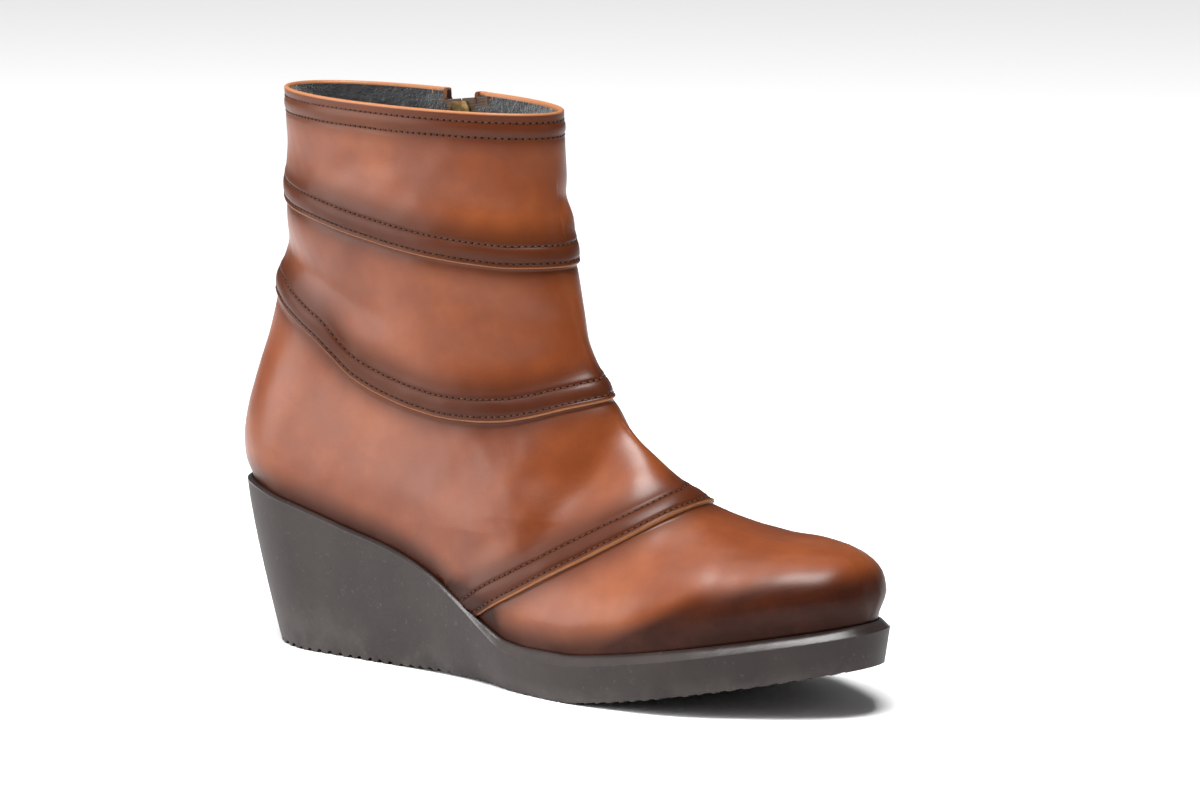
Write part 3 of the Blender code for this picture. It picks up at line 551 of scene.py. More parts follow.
def upper_half(x, z, side):
    """Half width of the upper at a point of its side view: the foot's width blended into
    the shaft's, rounded at heel, toe and front, and closed over the vamp by a superellipse."""
    level = z / COLLAR_HEIGHT
    above = z - rim_top(x)
    toe_tip = front_reach(np.minimum(z, front_z[toe_corner + 3]))
    full = (x - back_x(z)) / (toe_tip - back_x(z)) * SOLE_LENGTH
    inset = rim_width(full) + RIM_LAND + FIT_GAP
    foot = plan_half(full, side) - inset + SIDE_BULGE * ease(above / WIDEST_ABOVE_RIM)
    shaft = BALL_HALF * np.where(side < 0, shaft_outer(level), shaft_inner(level))
    body = foot + (shaft - foot) * ease((above - SHAFT_FROM) / SHAFT_BLEND)
    body = body * quarter_round(full / (BALL_HALF * shaft_back(level)))
    blunt = 2 + 0.5 * ease(above / WIDEST_ABOVE_RIM)
    body = body * quarter_round((SOLE_LENGTH - full) / TOE_ROUND, blunt)
    widest = rim_top(x) + WIDEST_ABOVE_RIM
    rise = np.clip((z - widest) / np.maximum(top_height(x) - widest, 1e-6), 0.0, 1.0)
    power = 1.45 + 1.1 * ease((x / SOLE_LENGTH - 0.62) / 0.28)
    top = (1 - rise**power) ** (1 / power)
    top = 1 - (1 - top) * ease((x / SOLE_LENGTH - 0.50) / 0.11)
    front_power = 1.55 + 0.45 * ease((level - 0.52) / 0.3)
    front = quarter_round((front_reach(z) - x) / (BALL_HALF * shaft_front(level)), front_power)
    front = 1 - (1 - front) * ease((level - 0.24) / 0.2)
    top, front = np.maximum(top, 1e-4), np.maximum(front, 1e-4)
    return body * (top**-8.0 + front**-8.0 - 1) ** (-1 / 8.0)


def upper_middle(x, z):
    """y of the upper's middle line: the ridge of the instep and the turned shaft."""
    level = z / COLLAR_HEIGHT
    shaft = ease((level - 0.42) / 0.35)
    turned = -math.tan(SHAFT_TOE_OUT) * (x - (front_x[-1] + back_x(COLLAR_HEIGHT)) / 2)
    ridge = np.clip((z - rim_top(x)) / np.maximum(top_height(x) - rim_top(x), 1e-6), 0.0, 1.0)
    along = -np.sin(2 * math.pi * np.clip((x / SOLE_LENGTH - 0.48) / 0.52, 0.0, 1.0))
    return turned * shaft + RIDGE_SHIFT * ridge**2 * along * (1 - shaft)


def upper_point(rise, theta):
    """A point of the upper's face. rise goes from 0 at the sole to 1 at the collar, theta
    from the heel along the outer side to the toe and back. The point lies on a chord from
    the heel's line to the front's, sagging to the sole's edge where rise is small."""
    share = (1 - np.cos(theta)) / 2
    side = np.where(np.sin(theta) > 1e-9, -1.0, 1.0)
    low_z = heel_seam_height + (back_top - heel_seam_height) * rise
    low_x = back_x(low_z)
    high_x, high_z = front_x_at(front_run[-1] * rise), front_z_at(front_run[-1] * rise)
    x = low_x + (high_x - low_x) * share
    seam_chord = heel_seam_height + (front_z[0] - heel_seam_height) * share
    seam_x = back_x(heel_seam_height) + (front_x[0] - back_x(heel_seam_height)) * share
    sag = (rim_top(seam_x) - seam_chord) * (1 - rise) ** 3
    z = low_z + (high_z - low_z) * share + sag
    closed = np.abs(np.sin(theta)) > 1e-6
    y = upper_middle(x, z) + side * upper_half(x, z, side) * closed
    return np.stack([x, y, z], -1)


def unit(ways):
    """Ways scaled to a length of 1."""
    return ways / np.maximum(np.linalg.norm(ways, axis=-1, keepdims=True), 1e-12)


def upper_normal(rise, theta):
    """The way out of the upper's face, from the cross product of two small steps."""
    step = 2e-3
    around = upper_point(rise, theta + step) - upper_point(rise, theta - step)
    low, high = np.clip(rise - step, 0, 1), np.clip(rise + step, 0, 1)
    upward = upper_point(high, theta) - upper_point(low, theta)
    return unit(np.cross(around, upward))


def above_seam(rows, point, inner):
    """Distance up the side view from a seam's lower edge, less than 0 below it."""
    along = rows.along * SOLE_LENGTH
    outer_line = smooth_curve(along, rows.outer * COLLAR_HEIGHT)
    inner_line = smooth_curve(along, rows.inner * COLLAR_HEIGHT)
    x, z = point[..., 0], point[..., 2]
    line = np.where(inner, inner_line(x), outer_line(x))
    ahead = np.where(inner, inner_line(x + 0.001), outer_line(x + 0.001))
    return (z - line) / np.sqrt(1 + ((ahead - line) / 0.001) ** 2)


slot_height = SLOT.height * COLLAR_HEIGHT
slot_back = smooth_curve(slot_height, SLOT.back * SOLE_LENGTH)
slot_front = smooth_curve(slot_height, SLOT.front * SOLE_LENGTH)
SLOT_FOOT = float(slot_height[0])
SLOT_FOOT_ROUND = 0.004
HALVINGS = 40
RISE_SAMPLES = 900
INNER_MARGIN = 0.05


def slot_at(z):
    """Middle line and half width of the slot at a height, below its foot those of the foot."""
    back, front = slot_back(z), slot_front(z)
    return (back + front) / 2, (front - back) / 2


def halve(low, high, lies_above):
    """The border between low and high, found by halving: lies_above says for a value
    whether the border is above it."""
    for _ in range(HALVINGS):
        middle = (low + high) / 2
        above = lies_above(middle)
        low, high = np.where(above, middle, low), np.where(above, high, middle)
    return (low + high) / 2


def slot_edge_angle(rise, edge):
    """The angle at which a ring meets the slot's back edge (-1) or front edge (1). Below
    its foot the slot closes to its middle line."""

    def too_far(angle):
        point = upper_point(rise, angle)
        middle, half = slot_at(point[..., 2])
        half = half * quarter_round((point[..., 2] - SLOT_FOOT) / SLOT_FOOT_ROUND)
        return point[..., 0] > middle + edge * half

    low = np.full_like(rise, math.pi + INNER_MARGIN)
    return halve(low, np.full_like(rise, 2 * math.pi - INNER_MARGIN), too_far)


rise_samples = np.linspace(0, 1, RISE_SAMPLES)
edge_back = slot_edge_angle(rise_samples, -1) - 2 * math.pi
edge_front = slot_edge_angle(rise_samples, 1)


def angle_at(turn, rise):
    """turn goes from 0 at the slot's back edge round the heel and toe to 1 at its front."""
    start = np.interp(rise, rise_samples, edge_back)
    stop = np.interp(rise, rise_samples, edge_front)
    return start + (stop - start) * turn


def is_inner(angle):
    return np.sin(angle) <= 1e-9


def rise_at(rows, distance, turn):
    """The rise at which each column meets the line a distance above a seam's edge."""

    def still_under(rise):
        angle = angle_at(turn, rise)
        return above_seam(rows, upper_point(rise, angle), is_inner(angle)) <= distance

    return halve(np.zeros_like(turn), np.ones_like(turn), still_under)


TIP_ANGLE = 0.045
TIP_FROM = 0.2400


def mend_tip(angle, values, points):
    """Even out what lies close beside the tips of toe and heel, where the half width closes
    to nothing: values there are spread on a line between their neighbours in the row."""
    mended = values.copy()
    for row in np.flatnonzero(points[..., 0].max(axis=1) > TIP_FROM):
        close = np.minimum(np.abs(angle[row] - math.pi), np.abs(angle[row])) < TIP_ANGLE
        for axis in range(3):
            known = values[row, ~close, axis]
            mended[row, close, axis] = np.interp(angle[row, close], angle[row, ~close], known)
    return mended


TURNS = 430
turn = np.linspace(0, 1, TURNS)
# Rows across a seam, as distances above its lower edge, then how far each is raw cut edge
SEAM_ROWS = (
    (0.0, 0.0, 0.0, 0.00015, 0.0005, 0.0009, 0.0012, 0.0015, 0.0018, 0.0022, 0.0028, 0.0036)
    + (0.0045, 0.0054, 0.0062, 0.0067, 0.0070, 0.0073, 0.0077, 0.0082, 0.0090, 0.0102)
    + (0.0118, 0.0140)
)
SEAM_CUTS = (0.0, 1.0, 1.0, 0.5) + (0.0,) * (len(SEAM_ROWS) - 4)
# How much of the seam's step its second and third row climb
STEP_CLIMB = (0.25, 0.8)
LOWER_STITCH, UPPER_STITCH = 0.0015, 0.0070
PANELS = ((VAMP_SEAM, 40), (ANKLE_SEAM, 34), (COLLAR_SEAM, 28))
COLLAR_ROWS = 30
SEAM_BURNISH = 0.74
COLLAR_STITCHES = (0.0022, 0.0072)
SLOT_STITCHES = (0.0032, 0.0062)
rises, cuts = [], []


def add_row(rise, cut=0.0):
    rises.append(rise)
    cuts.append(np.full(TURNS, cut))


below = np.zeros(TURNS)
for rows, plain_count in PANELS:
    seam = rise_at(rows, 0.0, turn)
    shares = np.linspace(0, 1, plain_count)[:-1]
    if rows is ANKLE_SEAM:  # closer rows at the slot's foot
        shares = np.interp(shares, (0.0, 0.10, 0.55, 1.0), (0.0, 0.09, 0.26, 1.0))
    for share in shares:
        add_row(below + (seam - below) * share)
    for distance, cut in zip(SEAM_ROWS, SEAM_CUTS):
        add_row(rise_at(rows, distance, turn), cut)
    below = rises[-1]
for share in np.linspace(0, 1, COLLAR_ROWS)[1:]:
    add_row(below + (1 - below) * share)
rises = np.array(rises)
cuts = np.array(cuts)
angles = angle_at(turn[None, :], rises)
bare_faces = upper_point(rises, angles)
faces = mend_tip(angles, bare_faces, bare_faces)
outward = mend_tip(angles, upper_normal(rises, angles), bare_faces)
inner_side = is_inner(angles)


def seam_relief(distance):
    """Height of a seam: a step, a groove at each stitch row, a soft roll between them and
    a slope back to the leather above."""
    shape = SEAM_STEP * (1 - 0.55 * ease((distance - 0.0068) / 0.0040))
    shape = shape * (1 - ease((distance - 0.0080) / 0.0120))
    roll = 0.00035 * bump(distance - 0.0043, 0.0021)
    grooves = bump(distance - LOWER_STITCH, 0.00045) + bump(distance - UPPER_STITCH, 0.00055)
    edge_round = 0.0002 * bump(distance, 0.0004)
    return (shape + roll - 0.00042 * grooves - edge_round) * (distance >= -1e-7)


# Troughs (depth above 0) and ridges of the worn leather, as lines in the side views.
CREASES = table(
    "side along height to_along to_height width depth",
    (-1, 0.018, 0.132, 0.066, 0.116, 0.0070, 0.0017),
    (-1, 0.034, 0.141, 0.086, 0.130, 0.0075, -0.0008),
    (-1, 0.050, 0.106, 0.100, 0.098, 0.0100, -0.0006),
    (-1, 0.060, 0.164, 0.088, 0.168, 0.0055, 0.0006),
    (-1, 0.084, 0.156, 0.108, 0.150, 0.0070, 0.0004),
    (-1, 0.100, 0.123, 0.127, 0.117, 0.0060, 0.0005),
    (-1, 0.138, 0.047, 0.153, 0.080, 0.0070, 0.0009),
    (-1, 0.112, 0.052, 0.135, 0.086, 0.0090, -0.0006),
    (-1, 0.166, 0.027, 0.196, 0.046, 0.0070, -0.0005),
    (-1, 0.196, 0.030, 0.212, 0.042, 0.0045, 0.0004),
    (1, 0.092, 0.158, 0.124, 0.155, 0.0035, 0.0007),
    (1, 0.094, 0.150, 0.125, 0.147, 0.0040, -0.0006),
    (1, 0.020, 0.150, 0.056, 0.161, 0.0040, 0.0007),
    (1, 0.022, 0.143, 0.058, 0.151, 0.0050, -0.0006),
    (1, 0.095, 0.121, 0.122, 0.111, 0.0080, 0.0008),
    (1, 0.100, 0.078, 0.122, 0.071, 0.0030, 0.0005),
    (1, 0.040, 0.072, 0.080, 0.058, 0.0090, -0.0006),
    (1, 0.128, 0.046, 0.150, 0.074, 0.0070, 0.0008),
    (1, 0.176, 0.030, 0.206, 0.044, 0.0070, -0.0005),
)


def crease_relief(points, side):
    """Sum of the creases at points of one side: each is depth * exp(-(d / width)^2), where
    d is the distance in the side view to the crease's line, which ends softly."""
    total = np.zeros(points.shape[:-1])
    x, z = points[..., 0], points[..., 2]
    for row in CREASES:
        run_x, run_z = row.to_along - row.along, row.to_height - row.height
        length = math.hypot(run_x, run_z)
        along = ((x - row.along) * run_x + (z - row.height) * run_z) / length
        away = ((x - row.along) * run_z - (z - row.height) * run_x) / length
        beyond = np.maximum(np.maximum(-along, along - length), 0.0)
        part = bump(away, row.width) * bump(beyond, 1.6 * row.width)
        total -= row.depth * part * (side == row.side)
    return total


def waver(points):
    """Slow unevenness of hide, a sum of three plane waves over the side view."""
    x, y, z = points[..., 0], points[..., 1], points[..., 2]
    first = np.sin(x * 190 + z * 120 + 1.3) * np.sin(z * 230 - x * 60 + 0.4)
    second = np.sin(x * 420 - z * 310 + y * 200) * 0.45
    third = np.sin(z * 520 + x * 270 + 2.1) * np.sin(x * 610 - y * 330) * 0.35
    return 0.00008 * (first + second + third)


FOOT_SQUASH = 2.0


def beside_slot(points, inner):
    """Distance outside the slot's edges: |x - middle| less the slot's half width, with the
    drop below its foot counted FOOT_SQUASH times."""
    middle, half = slot_at(points[..., 2])
    drop = np.maximum(SLOT_FOOT - points[..., 2], 0.0) * FOOT_SQUASH
    away = np.hypot(points[..., 0] - middle, drop) - half
    return np.where(inner, np.maximum(away, 0.0), 1.0)


def hide_relief(points, inner):
    """Creases and unevenness together, faded out at the sole, the collar and the slot."""
    calm = ease((points[..., 2] - rim_top(points[..., 0])) / 0.006)
    calm = calm * ease((COLLAR_HEIGHT - points[..., 2]) / 0.012)
    calm = calm * ease(beside_slot(points, inner) / 0.008)
    return (crease_relief(points, np.where(inner, 1, -1)) + waver(points)) * calm


height = np.zeros(rises.shape)
burnish = np.zeros(rises.shape)
order = np.arange(len(rises))[:, None]
place = 0
for rows, plain_count in PANELS:
    place += plain_count - 1
    distance = above_seam(rows, faces, inner_side)
    over = order > place
    climb = np.where(order == place + 2, STEP_CLIMB[1], 1.0)
    climb = np.where(order == place + 1, STEP_CLIMB[0], climb)
    height += np.where(over, seam_relief(np.maximum(distance, 0.0)) * climb, 0.0)
    height -= np.where(order <= place, 0.0003 * bump(distance, 0.0016), 0.0)
    # Over each seam its band is burnished darker. Below the seam's edge the leather is darkened as well,
    # partly burnish and partly painted shade under the step.
    band = SEAM_BURNISH * (1 - ease((distance - 0.0075) / 0.0100))
    burnish += np.where(over, band, 0.6 * bump(distance, 0.0050))
    place += len(SEAM_ROWS)

# The collar's band, the folded edges of the zip's slot and the leather's tuck at the sole
collar_fall = faces[-1:, :, 2] - faces[..., 2]
for fall, width in zip(COLLAR_STITCHES, (0.0006, 0.0007)):
    height -= 0.00035 * bump(collar_fall - fall, width)
height += 0.0003 * bump(collar_fall - 0.0046, 0.0020)
burnish += 0.60 * (1 - ease((collar_fall - 0.006) / 0.008))
slot_away = beside_slot(faces, inner_side)
height += 0.0005 * bump(slot_away - 0.0015, 0.0014)
for beside in SLOT_STITCHES:
    height -= 0.0004 * bump(slot_away - beside, 0.0005)
burnish += 0.62 * (1 - ease((slot_away - 0.0065) / 0.0080))
above_rim = faces[..., 2] - rim_top(faces[..., 0])
# Darker towards the sole, fading out 12 mm above its top edge.
burnish += 0.95 * (1 - ease(above_rim / 0.012))
# The toe is darker below a line that climbs from the ball to the toe's tip: partly burnish, partly
# painted shade on the toe's side wall
TOE_SHADE_X = (0.165, 0.185, 0.202, 0.221, 0.233, 0.248)
TOE_SHADE_Z = (0.0195, 0.0294, 0.0384, 0.0438, 0.0450, 0.0455)
shade_line = np.interp(faces[..., 0], TOE_SHADE_X, TOE_SHADE_Z)
toe_burnish_and_painted_shade = ease((shade_line - faces[..., 2] + 0.004) / 0.008)
burnish += 0.95 * toe_burnish_and_painted_shade * ease((faces[..., 0] - 0.165) / 0.03)
cuts = cuts * ease(above_rim / 0.0015)
height += hide_relief(faces, inner_side)

placed = faces + outward * height[..., None]
turned_in = []
margin_stations = (1 - np.cos(angles[0])) / 2 * SOLE_LENGTH
for extra, drop in ((0.0095, 0.0032), (0.0032, 0.0032), (0.0011, 0.0024), (0.0002, 0.0012)):
    inset = rim_width(margin_stations) + RIM_LAND + FIT_GAP + extra
    share = margin_stations / SOLE_LENGTH
    x = heel_seam + extra + share * (toe_seam - heel_seam - 2 * extra)
    rounding = quarter_round(margin_stations / HEEL_ROUND)
    rounding = rounding * quarter_round((SOLE_LENGTH - margin_stations) / TOE_ROUND)
    side = np.where(inner_side[0], 1.0, -1.0)
    y = side * (plan_half(margin_stations, side) - inset) * rounding
    turned_in.append(np.stack([x, y, rim_top(x) - drop], -1))
rolled = []
SLOT_FOLD = (0.0007, 0.0016, 0.0024)
RIM_THICK = 0.0018
RIM_ROLL = ((0.0, 0.0005), (0.2, 0.0008), (0.55, 0.0009), (0.85, 0.0006), (1.0, 0.0), (1.0, -0.0030))
for inward, upward in RIM_ROLL:
    edge = faces[-1] + outward[-1] * (height[-1][:, None] - RIM_THICK * inward)
    rolled.append(edge + np.array([0.0, 0.0, upward]))
body = np.concatenate([np.array(turned_in), placed, np.array(rolled)])
low_ways = np.repeat(outward[:1], len(turned_in), 0)
ways = np.concatenate([low_ways, outward, np.repeat(outward[-1:], len(rolled), 0)])
folds = []
for edge, depths in ((0, SLOT_FOLD[::-1]), (-1, SLOT_FOLD)):
    folds.append(np.stack([body[:, edge] - ways[:, edge] * depth for depth in depths], 1))
body = np.concatenate([folds[0], body, folds[1]], 1)


def padded_layer(values, below_value, above_value):
    """Values of the upper's grid with those of its turned-in, rolled and folded edges."""
    low = np.full((len(turned_in), TURNS), below_value)
    top = np.full((len(rolled), TURNS), above_value)
    grid = np.concatenate([low, values, top])
    return np.pad(grid, ((0, 0), (len(SLOT_FOLD), len(SLOT_FOLD))), mode="edge")


leather, shader, here = new_look("leather")
burnish_and_shade_mask = here.stored("burnish")
cut_mask = here.stored("cut")
cloud = here.noise(16, 3, 0.55)
fine_cloud = here.noise(70, 4, 0.6)
pores = here.node("ShaderNodeTexVoronoi", {"feature": "F1"}, {"Vector": here, "Scale": 1500.0})
pebble = here.noise(750, 3, 0.6)
shade = cloud * 0.6 + fine_cloud * 0.4
tan = shade.ramp(
    (0.30, (0.088, 0.0175, 0.0038)),
    (0.52, (0.140, 0.0310, 0.0062)),
    (0.74, (0.205, 0.0530, 0.0115)),
)
# Dark brown where the stored mask is high: burnish over the seams and beside the collar and slot, a
# darker band above the sole, painted shade below each seam's edge, and at the toe both burnish and
# painted shade.
streaked = burnish_and_shade_mask * (fine_cloud * 0.5 + 0.75)
depth = here.maths("MINIMUM", streaked, 1.0)
dark = (depth * 0.92).blend(tan, (0.0125, 0.0027, 0.0015, 1))
edged = cut_mask.blend(dark, (0.36, 0.15, 0.062, 1))
plug(
    shader,
    Base_Color=edged,
    Roughness=0.36 + fine_cloud * 0.10 + cut_mask * 0.30,
    Coat_Weight=0.46 - depth * 0.42,
    Coat_Roughness=0.32,
    Specular_IOR_Level=0.08,
    Normal=relief(pores, 0.16, 0.00012, relief(pebble, 0.22, 0.00018)),
)
burnish = np.clip(burnish, 0, 1)
layers = {
    "burnish": padded_layer(burnish, 1.0, 0.3),
    "cut": padded_layer(cuts, 0.0, 0.75),
}
upper_quads = sheet_faces(body.shape[0], body.shape[1], False)
upper = add_mesh("upper_leather", in_place(body.reshape(-1, 3)), upper_quads, leather, layers)
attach(upper, "boot")
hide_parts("upper")

# Lining. Black fleece on the inside of the leather from the insole to the collar, sewn in
# under the rolled rim and beside the zip.
LINING_TURNS, LINING_ROWS, LINING_TOP = 150, 90, 0.9985
LINING_GAP = 0.0003
lining_turn = np.linspace(0, 1, LINING_TURNS)
lining_rise = (1 - (1 - np.linspace(0.0, 1.0, LINING_ROWS)) ** 1.5)[:, None] * LINING_TOP
lining_rise = lining_rise * np.ones(LINING_TURNS)
lining_angle = angle_at(lining_turn[None, :], lining_rise)
bare_lining = upper_point(lining_rise, lining_angle)
lining_face = mend_tip(lining_angle, bare_lining, bare_lining)
lining_out = mend_tip(lining_angle, upper_normal(lining_rise, lining_angle), bare_lining)
from_slot = np.abs(lining_face[..., 0] - slot_at(lining_face[..., 2])[0])
from_slot += np.maximum(SLOT_FOOT - lining_face[..., 2], 0.0)
over_tape = (1 - ease((from_slot - 0.0120) / 0.0050)) * is_inner(lining_angle)
lining_fall = lining_face[-1:, :, 2] - lining_face[..., 2]
below_roll = ease((lining_fall - 0.0006) / 0.0040)
lining_depth = RIM_THICK + LINING_GAP + (UPPER_WALL - RIM_THICK + 0.0013 * over_tape) * below_roll
lining_points = lining_face - lining_out * lining_depth[..., None]
lining_quads = sheet_faces(LINING_ROWS, LINING_TURNS, False)[:, ::-1]
lining = add_mesh("lining_fleece", in_place(lining_points.reshape(-1, 3)), lining_quads, fleece)
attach(lining, "boot")

# Stitching. Waxed dark brown thread in short locked stitches, two rows on each seam, two
# under the collar's rim and two beside the zip, each sunk in its own groove.
thread, shader, here = new_look("thread")
# Where the stored mask is 1 the colour is near black: painted shade in the stitch holes.
hole_shade_mask = here.stored("pit")
twist = here.noise(1500, 2, 0.5)
strand = twist.ramp((0.35, (0.035, 0.012, 0.006)), (0.7, (0.095, 0.038, 0.018)))
plug(
    shader,
    Base_Color=hole_shade_mask.blend(strand, (0.008, 0.0035, 0.0025, 1)),
    Roughness=0.55 + hole_shade_mask * 0.4,
    Specular_IOR_Level=0.12,
    Normal=relief(twist, 0.5, 0.0001),
)
STITCH_PITCH = 0.0022
STITCH_LENGTH = 0.0015
PIT_RADIUS = 0.00042
STITCH_THICK = 0.00026
STITCH_PROUD = 0.4
LINE_POINTS = 1500
ABOVE_SOLE, BESIDE_SLOT = 0.0008, 0.0018
COLLAR_GROOVE_FILL = 0.00025
SLOT_GROOVE_FILL = 0.0002


def stitch_row(points, ways):
    """Places, directions and outward ways of stitches at even steps along a line."""
    run = np.concatenate([[0], np.cumsum(np.linalg.norm(np.diff(points, axis=0), axis=1))])
    at = np.arange(STITCH_PITCH / 2, run[-1], STITCH_PITCH)

    def read(values, place):
        return np.stack([np.interp(place, run, values[:, axis]) for axis in range(3)], 1)

    along = unit(read(points, at + 2e-4) - read(points, at - 2e-4))
    return read(points, at), along, read(ways, at)


def spread(ways, lengths):
    """Every way of a list times every length of a grid."""
    return ways[:, None, None] * lengths[None, :, :, None]


def sew(name, lines, colour):
    """One mesh of all stitches on some lines. A stitch is a capsule: rings of six points
    whose radius follows a half ellipse along its length, with its ends sunk in."""
    parts = zip(*(stitch_row(*line) for line in lines))
    middles, alongs, ways = (np.concatenate(part) for part in parts)
    across_way = unit(np.cross(alongs, ways))
    up_way = np.cross(across_way, alongs)
    steps_along = np.array([-0.5, -0.42, -0.2, 0.2, 0.42, 0.5])
    girth = np.sqrt(np.clip(1 - (np.abs(steps_along) / 0.52) ** 4, 0.02, 1))
    sink = -0.00025 * (np.abs(steps_along) / 0.5) ** 3
    turns = np.arange(6) * math.pi / 3
    upward = sink[:, None] + np.outer(girth, np.cos(turns)) * STITCH_THICK
    sideways = np.outer(girth, np.sin(turns)) * STITCH_THICK * 1.2
    rings_along = middles[:, None, None] + spread(alongs, (steps_along * STITCH_LENGTH)[:, None])
    rings_along = rings_along + spread(up_way, upward) + spread(across_way, sideways)
    count = len(middles)
    one = sheet_faces(6, 6, True)
    caps = np.array([[0, 3, 2, 1], [0, 5, 4, 3], [30, 31, 32, 33], [30, 33, 34, 35]])
    one = np.concatenate([one[:, ::-1], caps])
    quads = (np.arange(count)[:, None, None] * 36 + one[None]).reshape(-1, 4)
    # A flat disc at each stitch hole, coloured near black: painted shade of the hole.
    pit_turns = np.arange(8) * math.pi / 4
    flat = np.array([1.0, 0.55]) * PIT_RADIUS
    pit_rings = (middles + alongs * STITCH_PITCH / 2)[:, None, None]
    pit_rings = pit_rings + spread(alongs, np.outer(flat, np.cos(pit_turns)))
    pit_rings = pit_rings + spread(across_way, np.outer(flat, np.sin(pit_turns)))
    pit_rings = pit_rings + spread(up_way, np.array([[-0.00006], [0.00006]]))
    lid = [[8, 9, 10, 11], [8, 11, 12, 15], [12, 13, 14, 15]]
    pit_faces = np.concatenate([sheet_faces(2, 8, True), lid])
    first = count * 36
    pit_quads = first + (np.arange(count)[:, None, None] * 16 + pit_faces[None]).reshape(-1, 4)
    every = np.concatenate([rings_along.reshape(-1, 3), pit_rings.reshape(-1, 3)])
    marks = {"pit": np.concatenate([np.zeros(first), np.ones(count * 16)])}
    quads = np.concatenate([quads, pit_quads])
    sewn = add_mesh(name, in_place(every), quads, colour, marks, weld=0)
    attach(sewn, "boot")


def seam_line(rows, distance, lift):
    """The stitch line a distance above a seam's edge, on the relief's own surface."""
    fine = np.linspace(0.002, 0.998, LINE_POINTS)
    rise = rise_at(rows, distance, fine)
    angle = angle_at(fine, rise)
    point, way = upper_point(rise, angle), upper_normal(rise, angle)
    keep = point[:, 2] > rim_top(point[:, 0]) + ABOVE_SOLE
    keep &= beside_slot(point, is_inner(angle)) > BESIDE_SLOT
    lifts = lift + hide_relief(point, is_inner(angle))
    return (point + way * lifts[:, None])[keep], way[keep]


lines = []
for rows in (VAMP_SEAM, ANKLE_SEAM, COLLAR_SEAM):
    for distance in (LOWER_STITCH, UPPER_STITCH):
        lift = float(seam_relief(np.array(distance))) + STITCH_THICK * STITCH_PROUD
        lines.append(seam_line(rows, distance, lift))
fine = np.linspace(0.004, 0.996, LINE_POINTS)
top_line = upper_point(np.ones_like(fine), angle_at(fine, np.ones_like(fine)))[:, 2]
for fall in COLLAR_STITCHES:

    def too_low(rise):
        return top_line - upper_point(rise, angle_at(fine, rise))[:, 2] > fall

    rise = halve(np.full_like(fine, 0.6), np.ones_like(fine), too_low)
    angle = angle_at(fine, rise)
    way = upper_normal(rise, angle)
    lift = STITCH_THICK * STITCH_PROUD - COLLAR_GROOVE_FILL
    lines.append((upper_point(rise, angle) + way * lift, way))
sew("seam_stitches", lines, thread)

# Zip. Aged brass teeth crimped to two brown woven tapes, a slider with a bridge, and a pull
# tab that turns on the bridge. The tapes are sewn behind the slot's folded edges.
woven, shader, here = new_look("woven_tape")
wave = {"Vector": here, "Scale": 620.0, "Distortion": 1.2}
weft = here.node("ShaderNodeTexWave", {"bands_direction": "Z"}, wave)
worn_tape = here.noise(180, 3, 0.6)
plug(
    shader,
    Base_Color=worn_tape.ramp((0.3, (0.050, 0.024, 0.010)), (0.7, (0.115, 0.060, 0.024))),
    Roughness=0.85,
    Sheen_Weight=0.3,
    Normal=relief(weft, 0.6, 0.0002),
)
brass, shader, here = new_look("aged_brass")
tarnish = here.noise(260, 4, 0.65)
metal = tarnish.ramp(
    (0.30, (0.055, 0.030, 0.014)),
    (0.55, (0.20, 0.125, 0.052)),
    (0.75, (0.42, 0.30, 0.14)),
)
plug(
    shader,
    Base_Color=metal,
    Metallic=0.95,
    Roughness=0.30 + tarnish * 0.25,
    Normal=relief(here.noise(1400, 2, 0.5), 0.2, 0.00006),
)
for node in ("zip_tape_back", "zip_tape_front"):
    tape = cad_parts[node]
    tape.data.materials.clear()
    tape.data.materials.append(woven)

TAPE_DEPTH = UPPER_WALL + FIT_GAP
TAPE_BELOW_COLLAR = 0.0015
TOOTH_PITCH = 0.00165
SLIDER_SPAN = 0.0136
TEETH_ABOVE_FOOT = 0.0010


def on_leather(x, z, depth):
    """Points behind the leather's inner-side face, and the way out there: the gradient of
    y - face(x, z), scaled to 1."""
    side = np.ones_like(x)
    face_y = upper_middle(x, z) + upper_half(x, z, side)
    step = 1e-4
    by_x = (upper_middle(x + step, z) + upper_half(x + step, z, side) - face_y) / step
    by_z = (upper_middle(x, z + step) + upper_half(x, z + step, side) - face_y) / step
    out = unit(np.stack([-by_x, np.ones_like(x), -by_z], -1))
    return np.stack([x, face_y, z], -1) - out * np.asarray(depth)[..., None], out


def zip_point(z, across, depth):
    """Points beside the zip's middle line. across is measured toward the toe."""
    x = slot_at(z)[0]
    step = 1e-4
    up_x = slot_at(z + step)[0] - x
    length = np.hypot(up_x, step)
    return on_leather(x + across * step / length, z - across * up_x / length, depth)[0]


# Sections of one tooth from its outer end to its tip past the middle line.
TOOTH = table(
    "across half_along low high",
    (0.00330, 0.00024, 0.0002, 0.0006), (0.00310, 0.00040, 0.0001, 0.0011),
    (0.00200, 0.00042, 0.0001, 0.0014), (0.00060, 0.00046, 0.0001, 0.0015),
    (-0.00050, 0.00050, 0.0003, 0.0015), (-0.00090, 0.00026, 0.0006, 0.0011),
)
teeth_top = COLLAR_HEIGHT - TAPE_BELOW_COLLAR - SLIDER_SPAN
teeth_count = int((teeth_top - SLOT_FOOT - TEETH_ABOVE_FOOT) / TOOTH_PITCH)
around_tooth = np.arange(8) * math.pi / 4 + math.pi / 8
squared = np.abs(np.cos(around_tooth)) ** 4 + np.abs(np.sin(around_tooth)) ** 4
tooth_along = np.cos(around_tooth) / squared**0.25
tooth_out = np.sin(around_tooth) / squared**0.25
half_along = TOOTH.half_along[:, None] * tooth_along
middle_out = ((TOOTH.low + TOOTH.high) / 2)[:, None]
half_out = ((TOOTH.high - TOOTH.low) / 2)[:, None] * tooth_out
